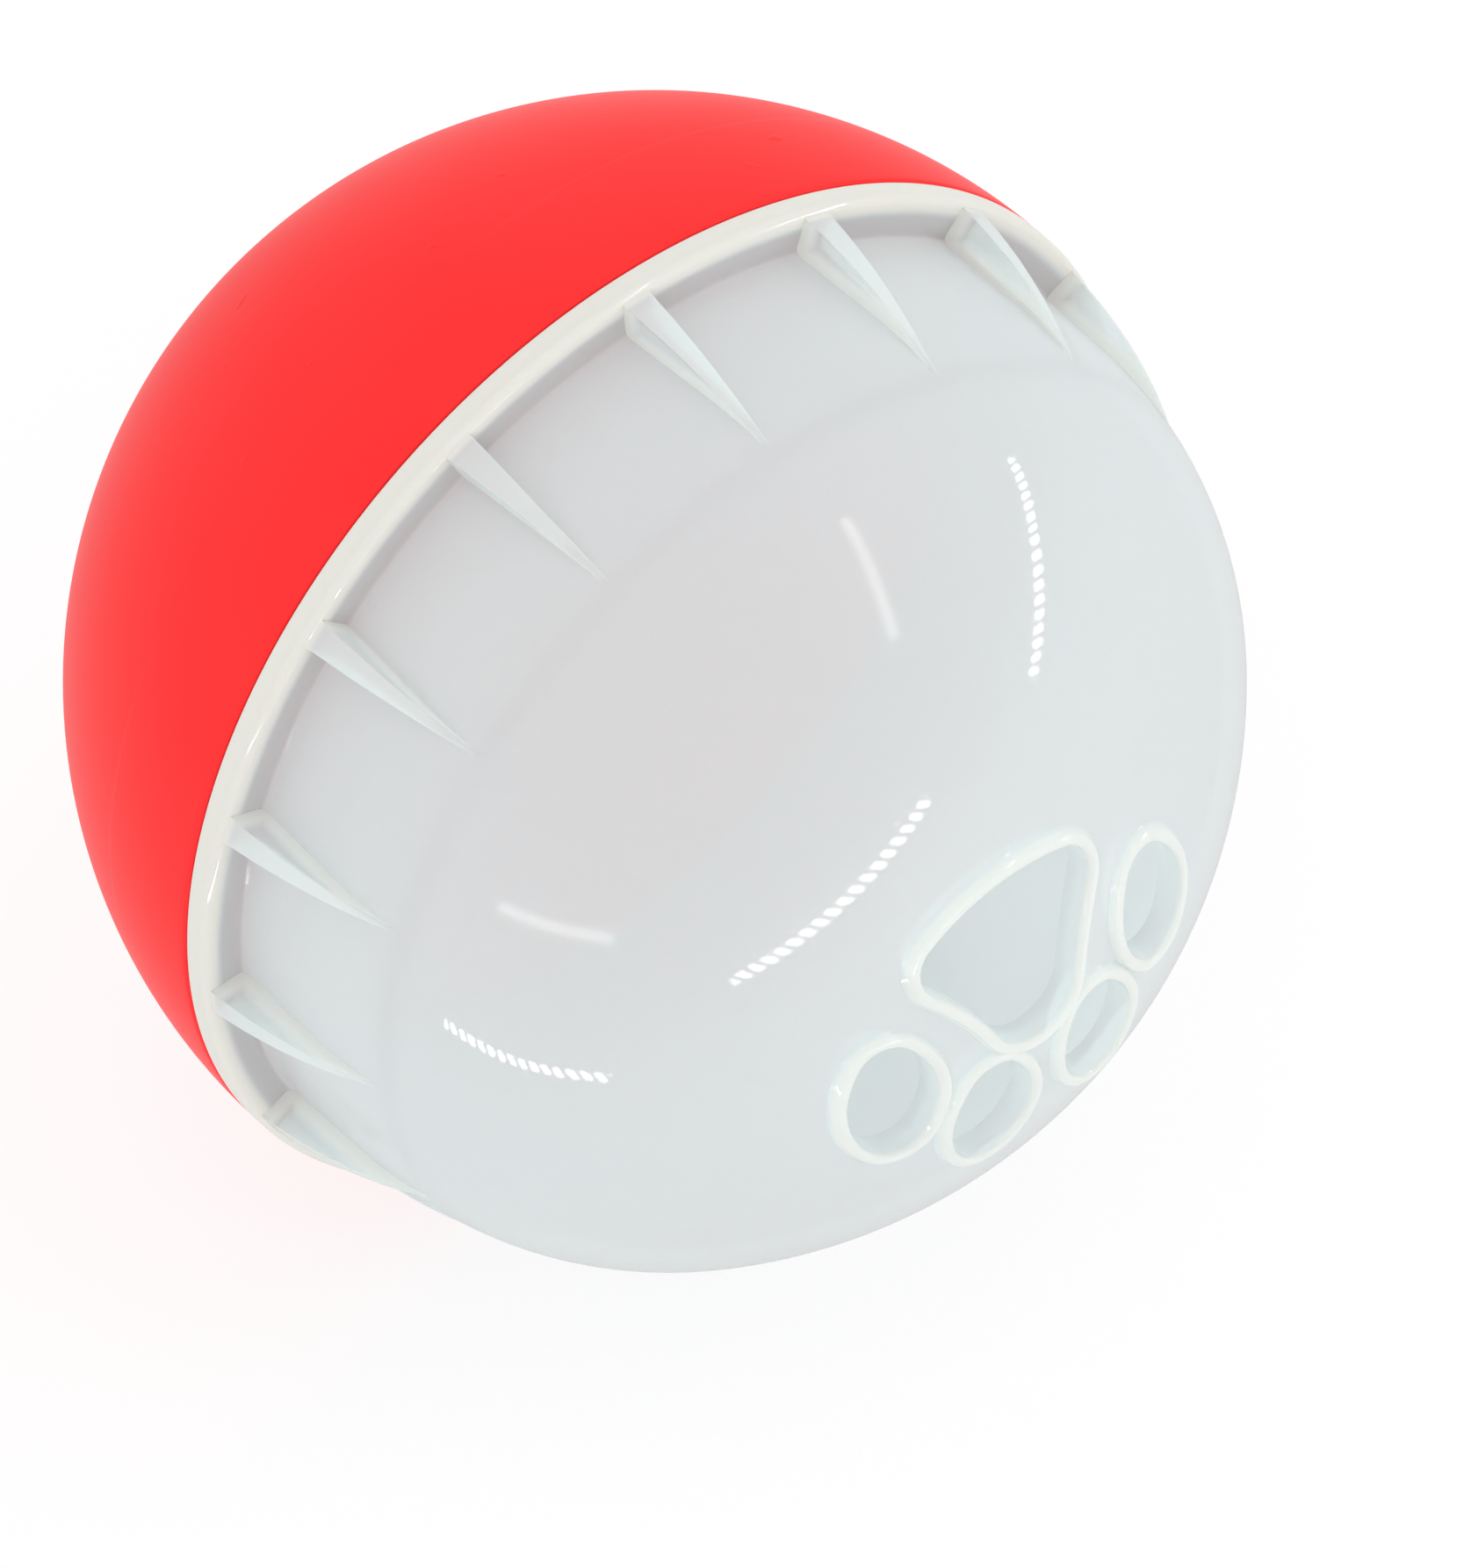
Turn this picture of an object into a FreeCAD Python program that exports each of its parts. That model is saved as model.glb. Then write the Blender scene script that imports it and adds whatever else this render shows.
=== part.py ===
import FreeCAD, Part
import math
import os
import Sketcher
from FreeCAD import Placement, Rotation, Vector

# A hollow treat ball in two moulded halves, in millimetres.
# The origin is the point on the floor under the middle of the ball, and +Z is up.
# The ball's own axis lies level along Y. The clear half, with a paw of openings round
# its pole, points to -Y, and the red half to +Y. Every piece is drawn about the centre
# of the ball and then lifted by the ball's radius.

# Driving sizes, in millimetres and degrees
SIZES = {
    # the ball and its seam
    "ball_radius": 38.0,
    "red_wall": 1.8,
    "clear_wall": 1.5,
    "seam_gap": 0.1,
    "seam_edge_radius": 0.25,
    # the ring of the clear half, the grip recess beside it and the ribs across the recess
    "ring_height": 1.95,
    "ring_edge_radius": 0.6,
    "recess_depth": 3.0,
    "floor_taper": 1.0,
    "floor_root_radius": 0.5,
    "dome_blend_radius": 25.0,
    "rib_count": 16,
    "rib_turn": 4.7,
    "rib_width": 2.2,
    "rib_tip_width": 0.3,
    "rib_reach": 15.0,
    "rib_inset": 0.22,
    "rib_crest_shift": 1.6,
    # the spigot of the clear half and the socket of the red half
    "seat_width": 3.2,
    "spigot_wall": 1.5,
    "spigot_length": 9.0,
    "spigot_edge_radius": 0.4,
    "fit_gap": 0.15,
    "socket_end_gap": 0.3,
    # the turn lock: lugs on the spigot, and hooks with stops in the socket
    "lock_count": 3,
    "lock_turn": 57.7,
    "lug_angle": 18.0,
    "lug_rise": 0.75,
    "lug_thickness": 1.8,
    "lug_tip_gap": 0.5,
    "hook_angle": 26.0,
    "hook_thickness": 2.2,
    "hook_side_gap": 5.0,
    "grip_gap": 0.1,
    "stop_angle": 3.0,
    # the paw of openings, as seen along +Y, with its toes down
    "paw_turn": 11.2,
    "paw_depth": 12.0,
    "collar_rise": 0.6,
    "collar_width": 0.85,
    "pad_base_radius": 12.6,
    "pad_corner_across": 4.5,
    "pad_corner_up": 9.2,
    "pad_corner_radius": 2.3,
    "pad_apex_up": 2.2,
    "pad_apex_radius": 3.2,
    "pad_flank_radius": 22.0,
    "toe_half_width": 3.0,
    "toe_half_length": 5.3,
    "toe_end_radius": 1.9,
    "outer_toe_across": 10.75,
    "outer_toe_down": -0.5,
    "outer_toe_lean": 2.0,
    "inner_toe_across": 4.4,
    "inner_toe_down": 6.1,
    "inner_toe_lean": 4.0,
}

doc = FreeCAD.newDocument("treat_ball")
sheet = doc.addObject("Spreadsheet::Sheet", "sizes")
for row, (alias, number) in enumerate(SIZES.items(), start=1):
    sheet.set(f"A{row}", alias)
    sheet.set(f"B{row}", str(number))
    sheet.setAlias(f"B{row}", alias)
doc.recompute()

# A holder for one number, which reads off what an expression comes to
gauge = doc.addObject("App::VarSet", "gauge")
gauge.addProperty("App::PropertyFloat", "reading")

# Ways to name a sketch's own origin and axes, and the three points of an arc
SKETCH_ORIGIN = (-1, 1)
LEVEL_AXIS, UPRIGHT_AXIS = range(-1, -3, -1)
START, END, CENTRE = range(1, 4)

# Turns that grow anticlockwise as seen from the clear pole, looking along +Y
TURN_AXIS = Vector(0, -1, 0)


def worked_out(expression):
    """The number that an expression on the sheet's sizes gives at present."""
    gauge.setExpression("reading", expression)
    gauge.recompute()
    return gauge.reading


class Outline:
    """A sketch: arcs and lines are drawn near their places and then held by named sizes."""

    def __init__(self, sketch):
        self.sketch = sketch

    def line(self, start, end):
        """A straight edge, drawn from start to end."""
        return self.sketch.addGeometry(Part.LineSegment(Vector(*start, 0), Vector(*end, 0)), False)

    def arc(self, centre, radius, start, end):
        """An arc about the centre, anticlockwise from the start point to the end point."""
        first = math.atan2(start[1] - centre[1], start[0] - centre[0])
        last = math.atan2(end[1] - centre[1], end[0] - centre[0])
        if last <= first:
            last += 2 * math.pi
        circle = Part.Circle(Vector(*centre, 0), Vector(0, 0, 1), radius)
        return self.sketch.addGeometry(Part.ArcOfCircle(circle, first, last), False)

    def rule(self, kind, *points):
        """A constraint with no size."""
        self.sketch.addConstraint(Sketcher.Constraint(kind, *points))

    def held(self, kind, *points, at):
        """A constraint whose size follows an expression on the sheet."""
        near = worked_out(at)
        if kind == "Angle":
            near = math.radians(near)
        index = self.sketch.addConstraint(Sketcher.Constraint(kind, *points, near))
        self.sketch.setExpression(f"Constraints[{index}]", at)

    def chain(self, *edges):
        """Joins the end of each edge to the start of the next."""
        for first, second in zip(edges, edges[1:]):
            self.rule("Coincident", first, END, second, START)

    def about_origin(self, arc, radius):
        """Centres an arc on the sketch's origin and holds its radius."""
        self.rule("Coincident", arc, CENTRE, *SKETCH_ORIGIN)
        self.held("Radius", arc, at=radius)


def body_named(name):
    """A new body for one piece, whose label is the piece's name."""
    body = doc.addObject("PartDesign::Body", name)
    body.Label = name
    return body


def sketch_on(body, role, name, turn=None):
    """A sketch on one of the body's own planes, turned about the ball's axis if asked."""
    plane = next(item for item in body.Origin.OriginFeatures if item.Role == role)
    sketch = body.newObject("Sketcher::SketchObject", name)
    sketch.AttachmentSupport = [(plane, "")]
    sketch.MapMode = "FlatFace"
    if turn:
        sketch.AttachmentOffset = Placement(Vector(), Rotation(TURN_AXIS, worked_out(turn)))
        sketch.setExpression("AttachmentOffset.Rotation.Angle", turn)
    return sketch


def revolved(body, sketch, name, angle="360"):
    """Material swept about the ball's axis, half of it to each side of the sketch."""
    feature = body.newObject("PartDesign::Revolution", name)
    feature.Profile = sketch
    feature.ReferenceAxis = (sketch, ["V_Axis"])
    feature.setExpression("Angle", angle)
    feature.Midplane = True
    doc.recompute()
    return feature


def repeated(body, feature, name, count):
    """Copies of a feature, evenly spaced about the ball's axis."""
    axis = next(item for item in body.Origin.OriginFeatures if item.Role == "Y_Axis")
    pattern = body.newObject("PartDesign::PolarPattern", name)
    pattern.Originals = [feature]
    pattern.Axis = (axis, [""])
    pattern.Angle = 360
    pattern.setExpression("Occurrences", count)
    body.Tip = pattern
    doc.recompute()
    return pattern


def rounded(body, name, radius, *circles):
    """Rounds the full circles that lie at the given heights and radii on the tip of a body."""
    wanted = [(worked_out(height), worked_out(reach)) for height, reach in circles]
    edges = []
    for number, edge in enumerate(body.Tip.Shape.Edges, start=1):
        if edge.Degenerated or not isinstance(edge.Curve, Part.Circle):
            continue
        if abs(edge.Curve.Axis.y) < 0.999:
            continue
        for height, reach in wanted:
            if abs(edge.Curve.Center.y - height) < 0.001 and abs(edge.Curve.Radius - reach) < 0.001:
                edges.append(f"Edge{number}")
    if len(edges) < len(wanted):
        raise ValueError(f"{name}: found {len(edges)} of {len(wanted)} edges to round")
    base = body.Tip
    fillet = body.newObject("PartDesign::Fillet", name)
    fillet.Base = (base, edges)
    fillet.setExpression("Radius", radius)
    doc.recompute()


def blend_circle(corner, taper, ball, blend):
    """Where a blend arc lies between a tapered wall and the dome that the wall runs into.

    The wall goes down from its corner and leans in by the taper. The answer is the arc's
    centre, its point on the wall and its point on the dome.
    """
    lean = math.radians(taper)
    down = (-math.sin(lean), -math.cos(lean))
    inward = (-math.cos(lean), math.sin(lean))
    foot = (corner[0] + inward[0] * blend, corner[1] + inward[1] * blend)
    along = foot[0] * down[0] + foot[1] * down[1]
    reach = -along + math.sqrt(along**2 - foot[0]**2 - foot[1]**2 + (ball - blend)**2)
    centre = (foot[0] + down[0] * reach, foot[1] + down[1] * reach)
    on_wall = (corner[0] + down[0] * reach, corner[1] + down[1] * reach)
    on_dome = (centre[0] * ball / (ball - blend), centre[1] * ball / (ball - blend))
    return centre, on_wall, on_dome


def beyond(start, through, reach):
    """The point at a given reach from start, on the way through another point."""
    run = (through[0] - start[0], through[1] - start[1])
    share = reach / math.hypot(*run)
    return start[0] + run[0] * share, start[1] + run[1] * share


def mirrored(point):
    """The same point on the other side of the upright axis."""
    return -point[0], point[1]


def meeting_point(first, first_reach, second, second_reach):
    """The point at the given reaches from two others, on the right of the way from first to second."""
    run = (second[0] - first[0], second[1] - first[1])
    span = math.hypot(*run)
    along = (first_reach**2 - second_reach**2 + span**2) / (2 * span)
    aside = math.sqrt(first_reach**2 - along**2)
    return (first[0] + (run[0] * along + run[1] * aside) / span,
            first[1] + (run[1] * along - run[0] * aside) / span)


def rectangle_sketch(sketch, inner, outer, near, far, below=False):
    """A rectangle between two radii and two distances over, or below, the level axis."""
    left, right = worked_out(inner), worked_out(outer)
    way = -1 if below else 1
    first, last = way * worked_out(near), way * worked_out(far)
    outline = Outline(sketch)
    base = outline.line((left, first), (right, first))
    side = outline.line((right, first), (right, last))
    lid = outline.line((right, last), (left, last))
    back = outline.line((left, last), (left, first))
    outline.chain(base, side, lid, back, base)
    for edge in (base, lid):
        outline.rule("Horizontal", edge)
    for edge in (side, back):
        outline.rule("Vertical", edge)
    outline.held("DistanceX", *SKETCH_ORIGIN, back, START, at=inner)
    outline.held("DistanceX", *SKETCH_ORIGIN, side, START, at=outer)
    for edge, distance in ((base, near), (lid, far)):
        ends = (edge, START, *SKETCH_ORIGIN) if below else (*SKETCH_ORIGIN, edge, START)
        outline.held("DistanceY", *ends, at=distance)


# Heights and radii that both halves share
BALL = "sizes.ball_radius"
FLOOR_RADIUS = "sizes.ball_radius - sizes.recess_depth"
SPIGOT_RADIUS = "sizes.ball_radius - sizes.seat_width"
SPIGOT_BORE = SPIGOT_RADIUS + " - sizes.spigot_wall"
SOCKET_RADIUS = SPIGOT_RADIUS + " + sizes.lug_rise + sizes.fit_gap"
SOCKET_DEPTH = "sizes.spigot_length + sizes.socket_end_gap"
LUG_TOP = "sizes.spigot_length - sizes.lug_tip_gap"
LUG_BOTTOM = "sizes.spigot_length - sizes.lug_tip_gap - sizes.lug_thickness"
HOOK_TOP = LUG_BOTTOM + " - sizes.grip_gap"
HOOK_BOTTOM = HOOK_TOP + " - sizes.hook_thickness"


# The clear half: dome, tapered recess floor, ring and spigot in one turned profile
def clear_profile(sketch):
    ball, taper = worked_out(BALL), worked_out("sizes.floor_taper")
    blend = worked_out("sizes.dome_blend_radius")
    inside = worked_out("sizes.ball_radius - sizes.clear_wall")
    ring_height = worked_out("sizes.ring_height")
    root = (worked_out(FLOOR_RADIUS), -ring_height)
    outer, bore = worked_out(SPIGOT_RADIUS), worked_out(SPIGOT_BORE)
    tip = worked_out("sizes.spigot_length")
    ring_corner = (math.sqrt(ball**2 - ring_height**2), -ring_height)
    middle, on_floor, on_dome = blend_circle(root, taper, ball, blend)
    inner_blend = blend - worked_out("sizes.clear_wall")
    inner_middle, on_bore, on_inside = blend_circle((bore, 0), taper, inside, inner_blend)

    shape = Outline(sketch)
    dome = shape.arc((0, 0), ball, (0, -ball), on_dome)
    blend_out = shape.arc(middle, blend, on_dome, on_floor)
    floor = shape.line(on_floor, root)
    underside = shape.line(root, ring_corner)
    ring = shape.arc((0, 0), ball, ring_corner, (ball, 0))
    seat = shape.line((ball, 0), (outer, 0))
    spigot = shape.line((outer, 0), (outer, tip))
    rim = shape.line((outer, tip), (bore, tip))
    throat = shape.line((bore, tip), (bore, 0))
    taper_in = shape.line((bore, 0), on_bore)
    blend_in = shape.arc(inner_middle, inner_blend, on_inside, on_bore)
    inner_dome = shape.arc((0, 0), inside, (0, -inside), on_inside)
    pole = shape.line((0, -inside), (0, -ball))

    shape.about_origin(dome, BALL)
    shape.about_origin(ring, BALL)
    shape.about_origin(inner_dome, "sizes.ball_radius - sizes.clear_wall")
    shape.rule("PointOnObject", dome, START, UPRIGHT_AXIS)
    shape.rule("PointOnObject", inner_dome, START, UPRIGHT_AXIS)
    shape.rule("Tangent", dome, END, blend_out, START)
    shape.rule("Tangent", blend_out, END, floor, START)
    shape.held("Radius", blend_out, at="sizes.dome_blend_radius")
    shape.chain(floor, underside, ring, seat, spigot, rim, throat, taper_in)
    shape.rule("Tangent", taper_in, END, blend_in, END)
    shape.rule("Tangent", blend_in, START, inner_dome, END)
    shape.held("Radius", blend_in, at="sizes.dome_blend_radius - sizes.clear_wall")
    shape.rule("Parallel", taper_in, floor)
    shape.rule("Coincident", inner_dome, START, pole, START)
    shape.rule("Coincident", pole, END, dome, START)
    for edge in (underside, seat, rim):
        shape.rule("Horizontal", edge)
    for edge in (spigot, throat):
        shape.rule("Vertical", edge)
    shape.rule("PointOnObject", ring, END, LEVEL_AXIS)
    shape.rule("PointOnObject", throat, END, LEVEL_AXIS)
    shape.held("DistanceX", *SKETCH_ORIGIN, underside, START, at=FLOOR_RADIUS)
    shape.held("DistanceY", underside, START, *SKETCH_ORIGIN, at="sizes.ring_height")
    shape.held("Angle", floor, UPRIGHT_AXIS, at="sizes.floor_taper")
    shape.held("DistanceX", *SKETCH_ORIGIN, spigot, START, at=SPIGOT_RADIUS)
    shape.held("DistanceY", *SKETCH_ORIGIN, spigot, END, at="sizes.spigot_length")
    shape.held("DistanceX", *SKETCH_ORIGIN, rim, END, at=SPIGOT_BORE)


def red_profile(sketch):
    """The red half: a dome with a wider socket behind its rim."""
    ball, inside = worked_out(BALL), worked_out("sizes.ball_radius - sizes.red_wall")
    socket, depth = worked_out(SOCKET_RADIUS), worked_out(SOCKET_DEPTH)
    rim_height = worked_out("sizes.seam_gap")
    rim_corner = (math.sqrt(ball**2 - rim_height**2), rim_height)
    shoulder = (math.sqrt(inside**2 - depth**2), depth)

    shape = Outline(sketch)
    dome = shape.arc((0, 0), ball, rim_corner, (0, ball))
    pole = shape.line((0, ball), (0, inside))
    inner_dome = shape.arc((0, 0), inside, shoulder, (0, inside))
    step = shape.line(shoulder, (socket, depth))
    bore = shape.line((socket, depth), (socket, rim_height))
    rim = shape.line((socket, rim_height), rim_corner)

    shape.about_origin(dome, BALL)
    shape.about_origin(inner_dome, "sizes.ball_radius - sizes.red_wall")
    shape.chain(dome, pole)
    shape.rule("Coincident", pole, END, inner_dome, END)
    shape.rule("Coincident", inner_dome, START, step, START)
    shape.chain(step, bore, rim, dome)
    shape.rule("PointOnObject", dome, END, UPRIGHT_AXIS)
    shape.rule("PointOnObject", pole, END, UPRIGHT_AXIS)
    for edge in (step, rim):
        shape.rule("Horizontal", edge)
    shape.rule("Vertical", bore)
    shape.held("DistanceX", *SKETCH_ORIGIN, bore, START, at=SOCKET_RADIUS)
    shape.held("DistanceY", *SKETCH_ORIGIN, bore, START, at=SOCKET_DEPTH)
    shape.held("DistanceY", *SKETCH_ORIGIN, rim, START, at="sizes.seam_gap")


# The red half
red_shell = body_named("red_shell")
red_half = sketch_on(red_shell, "XY_Plane", "red_half_profile")
red_profile(red_half)
revolved(red_shell, red_half, "red_dome")
rounded(red_shell, "red_seam_edge", "sizes.seam_edge_radius",
        ("sizes.seam_gap", "sqrt(sizes.ball_radius^2 - sizes.seam_gap^2)"))

HOOK_TURN = ("sizes.lock_turn + sizes.lug_angle / 2 + sizes.hook_side_gap"
             " + sizes.hook_angle / 2")
STOP_TURN = HOOK_TURN + " + sizes.hook_angle / 2 - sizes.stop_angle / 2"
HOOK_TIP = SPIGOT_RADIUS + " + sizes.fit_gap"
HOOK_ROOT = SOCKET_RADIUS + " + sizes.seat_width / 10"

hook_section = sketch_on(red_shell, "XY_Plane", "hook_section", turn=HOOK_TURN)
rectangle_sketch(hook_section, HOOK_TIP, HOOK_ROOT, HOOK_BOTTOM, HOOK_TOP)
hook = revolved(red_shell, hook_section, "hook", "sizes.hook_angle")
repeated(red_shell, hook, "hooks", "sizes.lock_count")

stop_section = sketch_on(red_shell, "XY_Plane", "stop_section", turn=STOP_TURN)
rectangle_sketch(stop_section, HOOK_TIP, HOOK_ROOT, HOOK_BOTTOM, SOCKET_DEPTH)
stop = revolved(red_shell, stop_section, "stop", "sizes.stop_angle")
repeated(red_shell, stop, "stops", "sizes.lock_count")

# The clear half
clear_body = body_named("clear_body")
clear_half = sketch_on(clear_body, "XY_Plane", "clear_half_profile",
                       turn="sizes.rib_turn + 180 / sizes.rib_count")
clear_profile(clear_half)
revolved(clear_body, clear_half, "clear_dome")
rounded(clear_body, "ring_edge", "sizes.ring_edge_radius",
        ("-sizes.ring_height", "sqrt(sizes.ball_radius^2 - sizes.ring_height^2)"))
rounded(clear_body, "floor_root", "sizes.floor_root_radius",
        ("-sizes.ring_height", FLOOR_RADIUS))
rounded(clear_body, "seam_edge", "sizes.seam_edge_radius", ("0", BALL))
rounded(clear_body, "spigot_edge", "sizes.spigot_edge_radius",
        ("sizes.spigot_length", SPIGOT_RADIUS),
        ("sizes.spigot_length", SPIGOT_BORE))

# The ribs: blades that stand on the recess floor and narrow to their tips. They are drawn
# as a wheel on a hub that lies hidden in the wall, and a ball trims their crests, so that
# each follows the ball's own curve and sinks into the dome at its tip.
rib_wheel = body_named("rib_wheel")
hub_section = sketch_on(rib_wheel, "XY_Plane", "hub_section")
rectangle_sketch(hub_section, FLOOR_RADIUS + " - 0.8 * sizes.clear_wall",
                 FLOOR_RADIUS + " - 0.4 * sizes.clear_wall",
                 "1.5 * sizes.ring_height", "sizes.rib_reach / 2", below=True)
revolved(rib_wheel, hub_section, "hub")
rib = rib_wheel.newObject("PartDesign::AdditiveWedge", "rib")
rib.Placement = Placement(Vector(), Rotation(TURN_AXIS, worked_out("sizes.rib_turn")))
rib.setExpression("Placement.Rotation.Angle", "sizes.rib_turn")
for side, expression in {
    "Ymax": "-sizes.ring_height / 2",
    "Ymin": "-sizes.rib_reach",
    "X2max": BALL,
    "X2min": FLOOR_RADIUS + " - sizes.clear_wall / 2",
    "Z2max": "sizes.rib_width / 2",
    "Z2min": "-sizes.rib_width / 2",
    "Xmax": BALL,
    "Xmin": "sqrt(sizes.ball_radius^2 - sizes.rib_reach^2) - sizes.clear_wall",
    "Zmax": "sizes.rib_tip_width / 2",
    "Zmin": "-sizes.rib_tip_width / 2",
}.items():
    rib.setExpression(side, expression)
doc.recompute()
repeated(rib_wheel, rib, "ribs", "sizes.rib_count")

crest_ball = doc.addObject("Part::Sphere", "crest_ball")
crest_ball.setExpression("Radius", "sizes.ball_radius - sizes.rib_inset")
crest_ball.Placement = Placement(Vector(), Rotation(Vector(1, 0, 0), 90))
crest_ball.setExpression("Placement.Base.y", "sizes.rib_crest_shift")
trimmed_ribs = doc.addObject("Part::Common", "trimmed_ribs")
trimmed_ribs.Base, trimmed_ribs.Tool = rib_wheel, crest_ball

lug_section = sketch_on(clear_body, "XY_Plane", "lug_section", turn="sizes.lock_turn")
rectangle_sketch(lug_section, SPIGOT_RADIUS + " - sizes.spigot_wall / 2",
                 SPIGOT_RADIUS + " + sizes.lug_rise", LUG_BOTTOM, LUG_TOP)
lug = revolved(clear_body, lug_section, "lug", "sizes.lug_angle")
repeated(clear_body, lug, "lugs", "sizes.lock_count")


# The paw: each outline is drawn once as an opening and once, wider, as its collar
def pad_outline(sketch, grow):
    """A rounded triangle with a bowed base, hollow flanks and its apex down."""
    across, up = worked_out("sizes.pad_corner_across"), worked_out("sizes.pad_corner_up")
    apex_up = worked_out("sizes.pad_apex_up")
    corner = worked_out(f"sizes.pad_corner_radius + {grow}")
    apex = worked_out(f"sizes.pad_apex_radius + {grow}")
    base = worked_out(f"sizes.pad_base_radius + {grow}")
    flank = worked_out(f"sizes.pad_flank_radius - {grow}")

    base_up = up - math.sqrt((base - corner)**2 - across**2)
    right, left, tip = (across, up), (-across, up), (0, apex_up)
    base_end = beyond((0, base_up), right, base)
    flank_middle = meeting_point(tip, apex + flank, right, corner + flank)
    mirror_middle = (-flank_middle[0], flank_middle[1])
    corner_end, apex_end = beyond(flank_middle, right, flank), beyond(flank_middle, tip, flank)

    shape = Outline(sketch)
    top = shape.arc((0, base_up), base, base_end, mirrored(base_end))
    left_corner = shape.arc(left, corner, mirrored(base_end), mirrored(corner_end))
    left_flank = shape.arc(mirror_middle, flank, mirrored(apex_end), mirrored(corner_end))
    bottom = shape.arc(tip, apex, mirrored(apex_end), apex_end)
    right_flank = shape.arc(flank_middle, flank, corner_end, apex_end)
    right_corner = shape.arc(right, corner, corner_end, base_end)

    shape.rule("Tangent", top, END, left_corner, START)
    shape.rule("Tangent", left_corner, END, left_flank, END)
    shape.rule("Tangent", left_flank, START, bottom, START)
    shape.rule("Tangent", bottom, END, right_flank, END)
    shape.rule("Tangent", right_flank, START, right_corner, START)
    shape.rule("Tangent", right_corner, END, top, START)
    shape.held("DistanceX", *SKETCH_ORIGIN, right_corner, CENTRE, at="sizes.pad_corner_across")
    shape.held("DistanceX", left_corner, CENTRE, *SKETCH_ORIGIN, at="sizes.pad_corner_across")
    for arc in (left_corner, right_corner):
        shape.held("DistanceY", *SKETCH_ORIGIN, arc, CENTRE, at="sizes.pad_corner_up")
        shape.held("Radius", arc, at=f"sizes.pad_corner_radius + {grow}")
    for arc in (left_flank, right_flank):
        shape.held("Radius", arc, at=f"sizes.pad_flank_radius - {grow}")
    shape.rule("PointOnObject", bottom, CENTRE, UPRIGHT_AXIS)
    shape.held("DistanceY", *SKETCH_ORIGIN, bottom, CENTRE, at="sizes.pad_apex_up")
    shape.held("Radius", bottom, at=f"sizes.pad_apex_radius + {grow}")
    shape.held("Radius", top, at=f"sizes.pad_base_radius + {grow}")


def toe_outline(sketch, grow, toe, side):
    """An oval of four arcs, on one side of the paw, whose tip leans outwards."""
    arm = "(sizes.toe_half_length - sizes.toe_end_radius)"
    across = f"{side} * (sizes.{toe}_toe_across + {{way}} * {arm} * sin(sizes.{toe}_toe_lean))"
    down = f"-sizes.{toe}_toe_down - {{way}} * {arm} * cos(sizes.{toe}_toe_lean)"
    flank_rule = (f"((sizes.toe_half_width^2 + {arm}^2 - sizes.toe_end_radius^2)"
                  f" / (2 * (sizes.toe_half_width - sizes.toe_end_radius))) + {grow}")
    tip = (worked_out(across.format(way=1)), worked_out(down.format(way=1)))
    heel = (worked_out(across.format(way=-1)), worked_out(down.format(way=-1)))
    end, flank = worked_out(f"sizes.toe_end_radius + {grow}"), worked_out(flank_rule)
    right_middle = meeting_point(tip, flank - end, heel, flank - end)
    left_middle = meeting_point(heel, flank - end, tip, flank - end)

    shape = Outline(sketch)
    corners = [beyond(left_middle, tip, flank), beyond(left_middle, heel, flank),
               beyond(right_middle, heel, flank), beyond(right_middle, tip, flank)]
    right_flank = shape.arc(left_middle, flank, corners[0], corners[1])
    heel_end = shape.arc(heel, end, corners[1], corners[2])
    left_flank = shape.arc(right_middle, flank, corners[2], corners[3])
    tip_end = shape.arc(tip, end, corners[3], corners[0])

    shape.rule("Tangent", right_flank, END, heel_end, START)
    shape.rule("Tangent", heel_end, END, left_flank, START)
    shape.rule("Tangent", left_flank, END, tip_end, START)
    shape.rule("Tangent", tip_end, END, right_flank, START)
    for arc, way in ((tip_end, 1), (heel_end, -1)):
        shape.held("DistanceX", *SKETCH_ORIGIN, arc, CENTRE, at=across.format(way=way))
        shape.held("DistanceY", *SKETCH_ORIGIN, arc, CENTRE, at=down.format(way=way))
        shape.held("Radius", arc, at=f"sizes.toe_end_radius + {grow}")
    for arc in (left_flank, right_flank):
        shape.held("Radius", arc, at=flank_rule)


def paw_prism(name, draw, grow, *choice):
    """A straight prism on one outline, from inside the dome out past its collars."""
    sketch = doc.addObject("Sketcher::SketchObject", f"{name}_outline")
    sketch.Placement = Placement(Vector(), Rotation(Vector(1, 0, 0), 90))
    sketch.setExpression("Placement.Base.y", "sizes.paw_depth - sizes.ball_radius")
    draw(sketch, grow, *choice)
    prism = doc.addObject("Part::Extrusion", name)
    prism.Base = sketch
    prism.DirMode = "Custom"
    prism.Dir = TURN_AXIS
    prism.Solid = True
    prism.setExpression("LengthFwd", "sizes.paw_depth + 2 * sizes.collar_rise")
    return prism


PAW_OUTLINES = {
    "pad": (pad_outline,),
    "left_outer_toe": (toe_outline, "outer", -1),
    "left_inner_toe": (toe_outline, "inner", -1),
    "right_inner_toe": (toe_outline, "inner", 1),
    "right_outer_toe": (toe_outline, "outer", 1),
}
openings = [paw_prism(f"{name}_opening", draw, "0", *choice)
            for name, (draw, *choice) in PAW_OUTLINES.items()]
collars = [paw_prism(f"{name}_collar", draw, "sizes.collar_width", *choice)
           for name, (draw, *choice) in PAW_OUTLINES.items()]

paw_openings = doc.addObject("Part::MultiFuse", "paw_openings")
paw_openings.Shapes = openings
collar_prisms = doc.addObject("Part::MultiFuse", "collar_prisms")
collar_prisms.Shapes = collars

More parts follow.
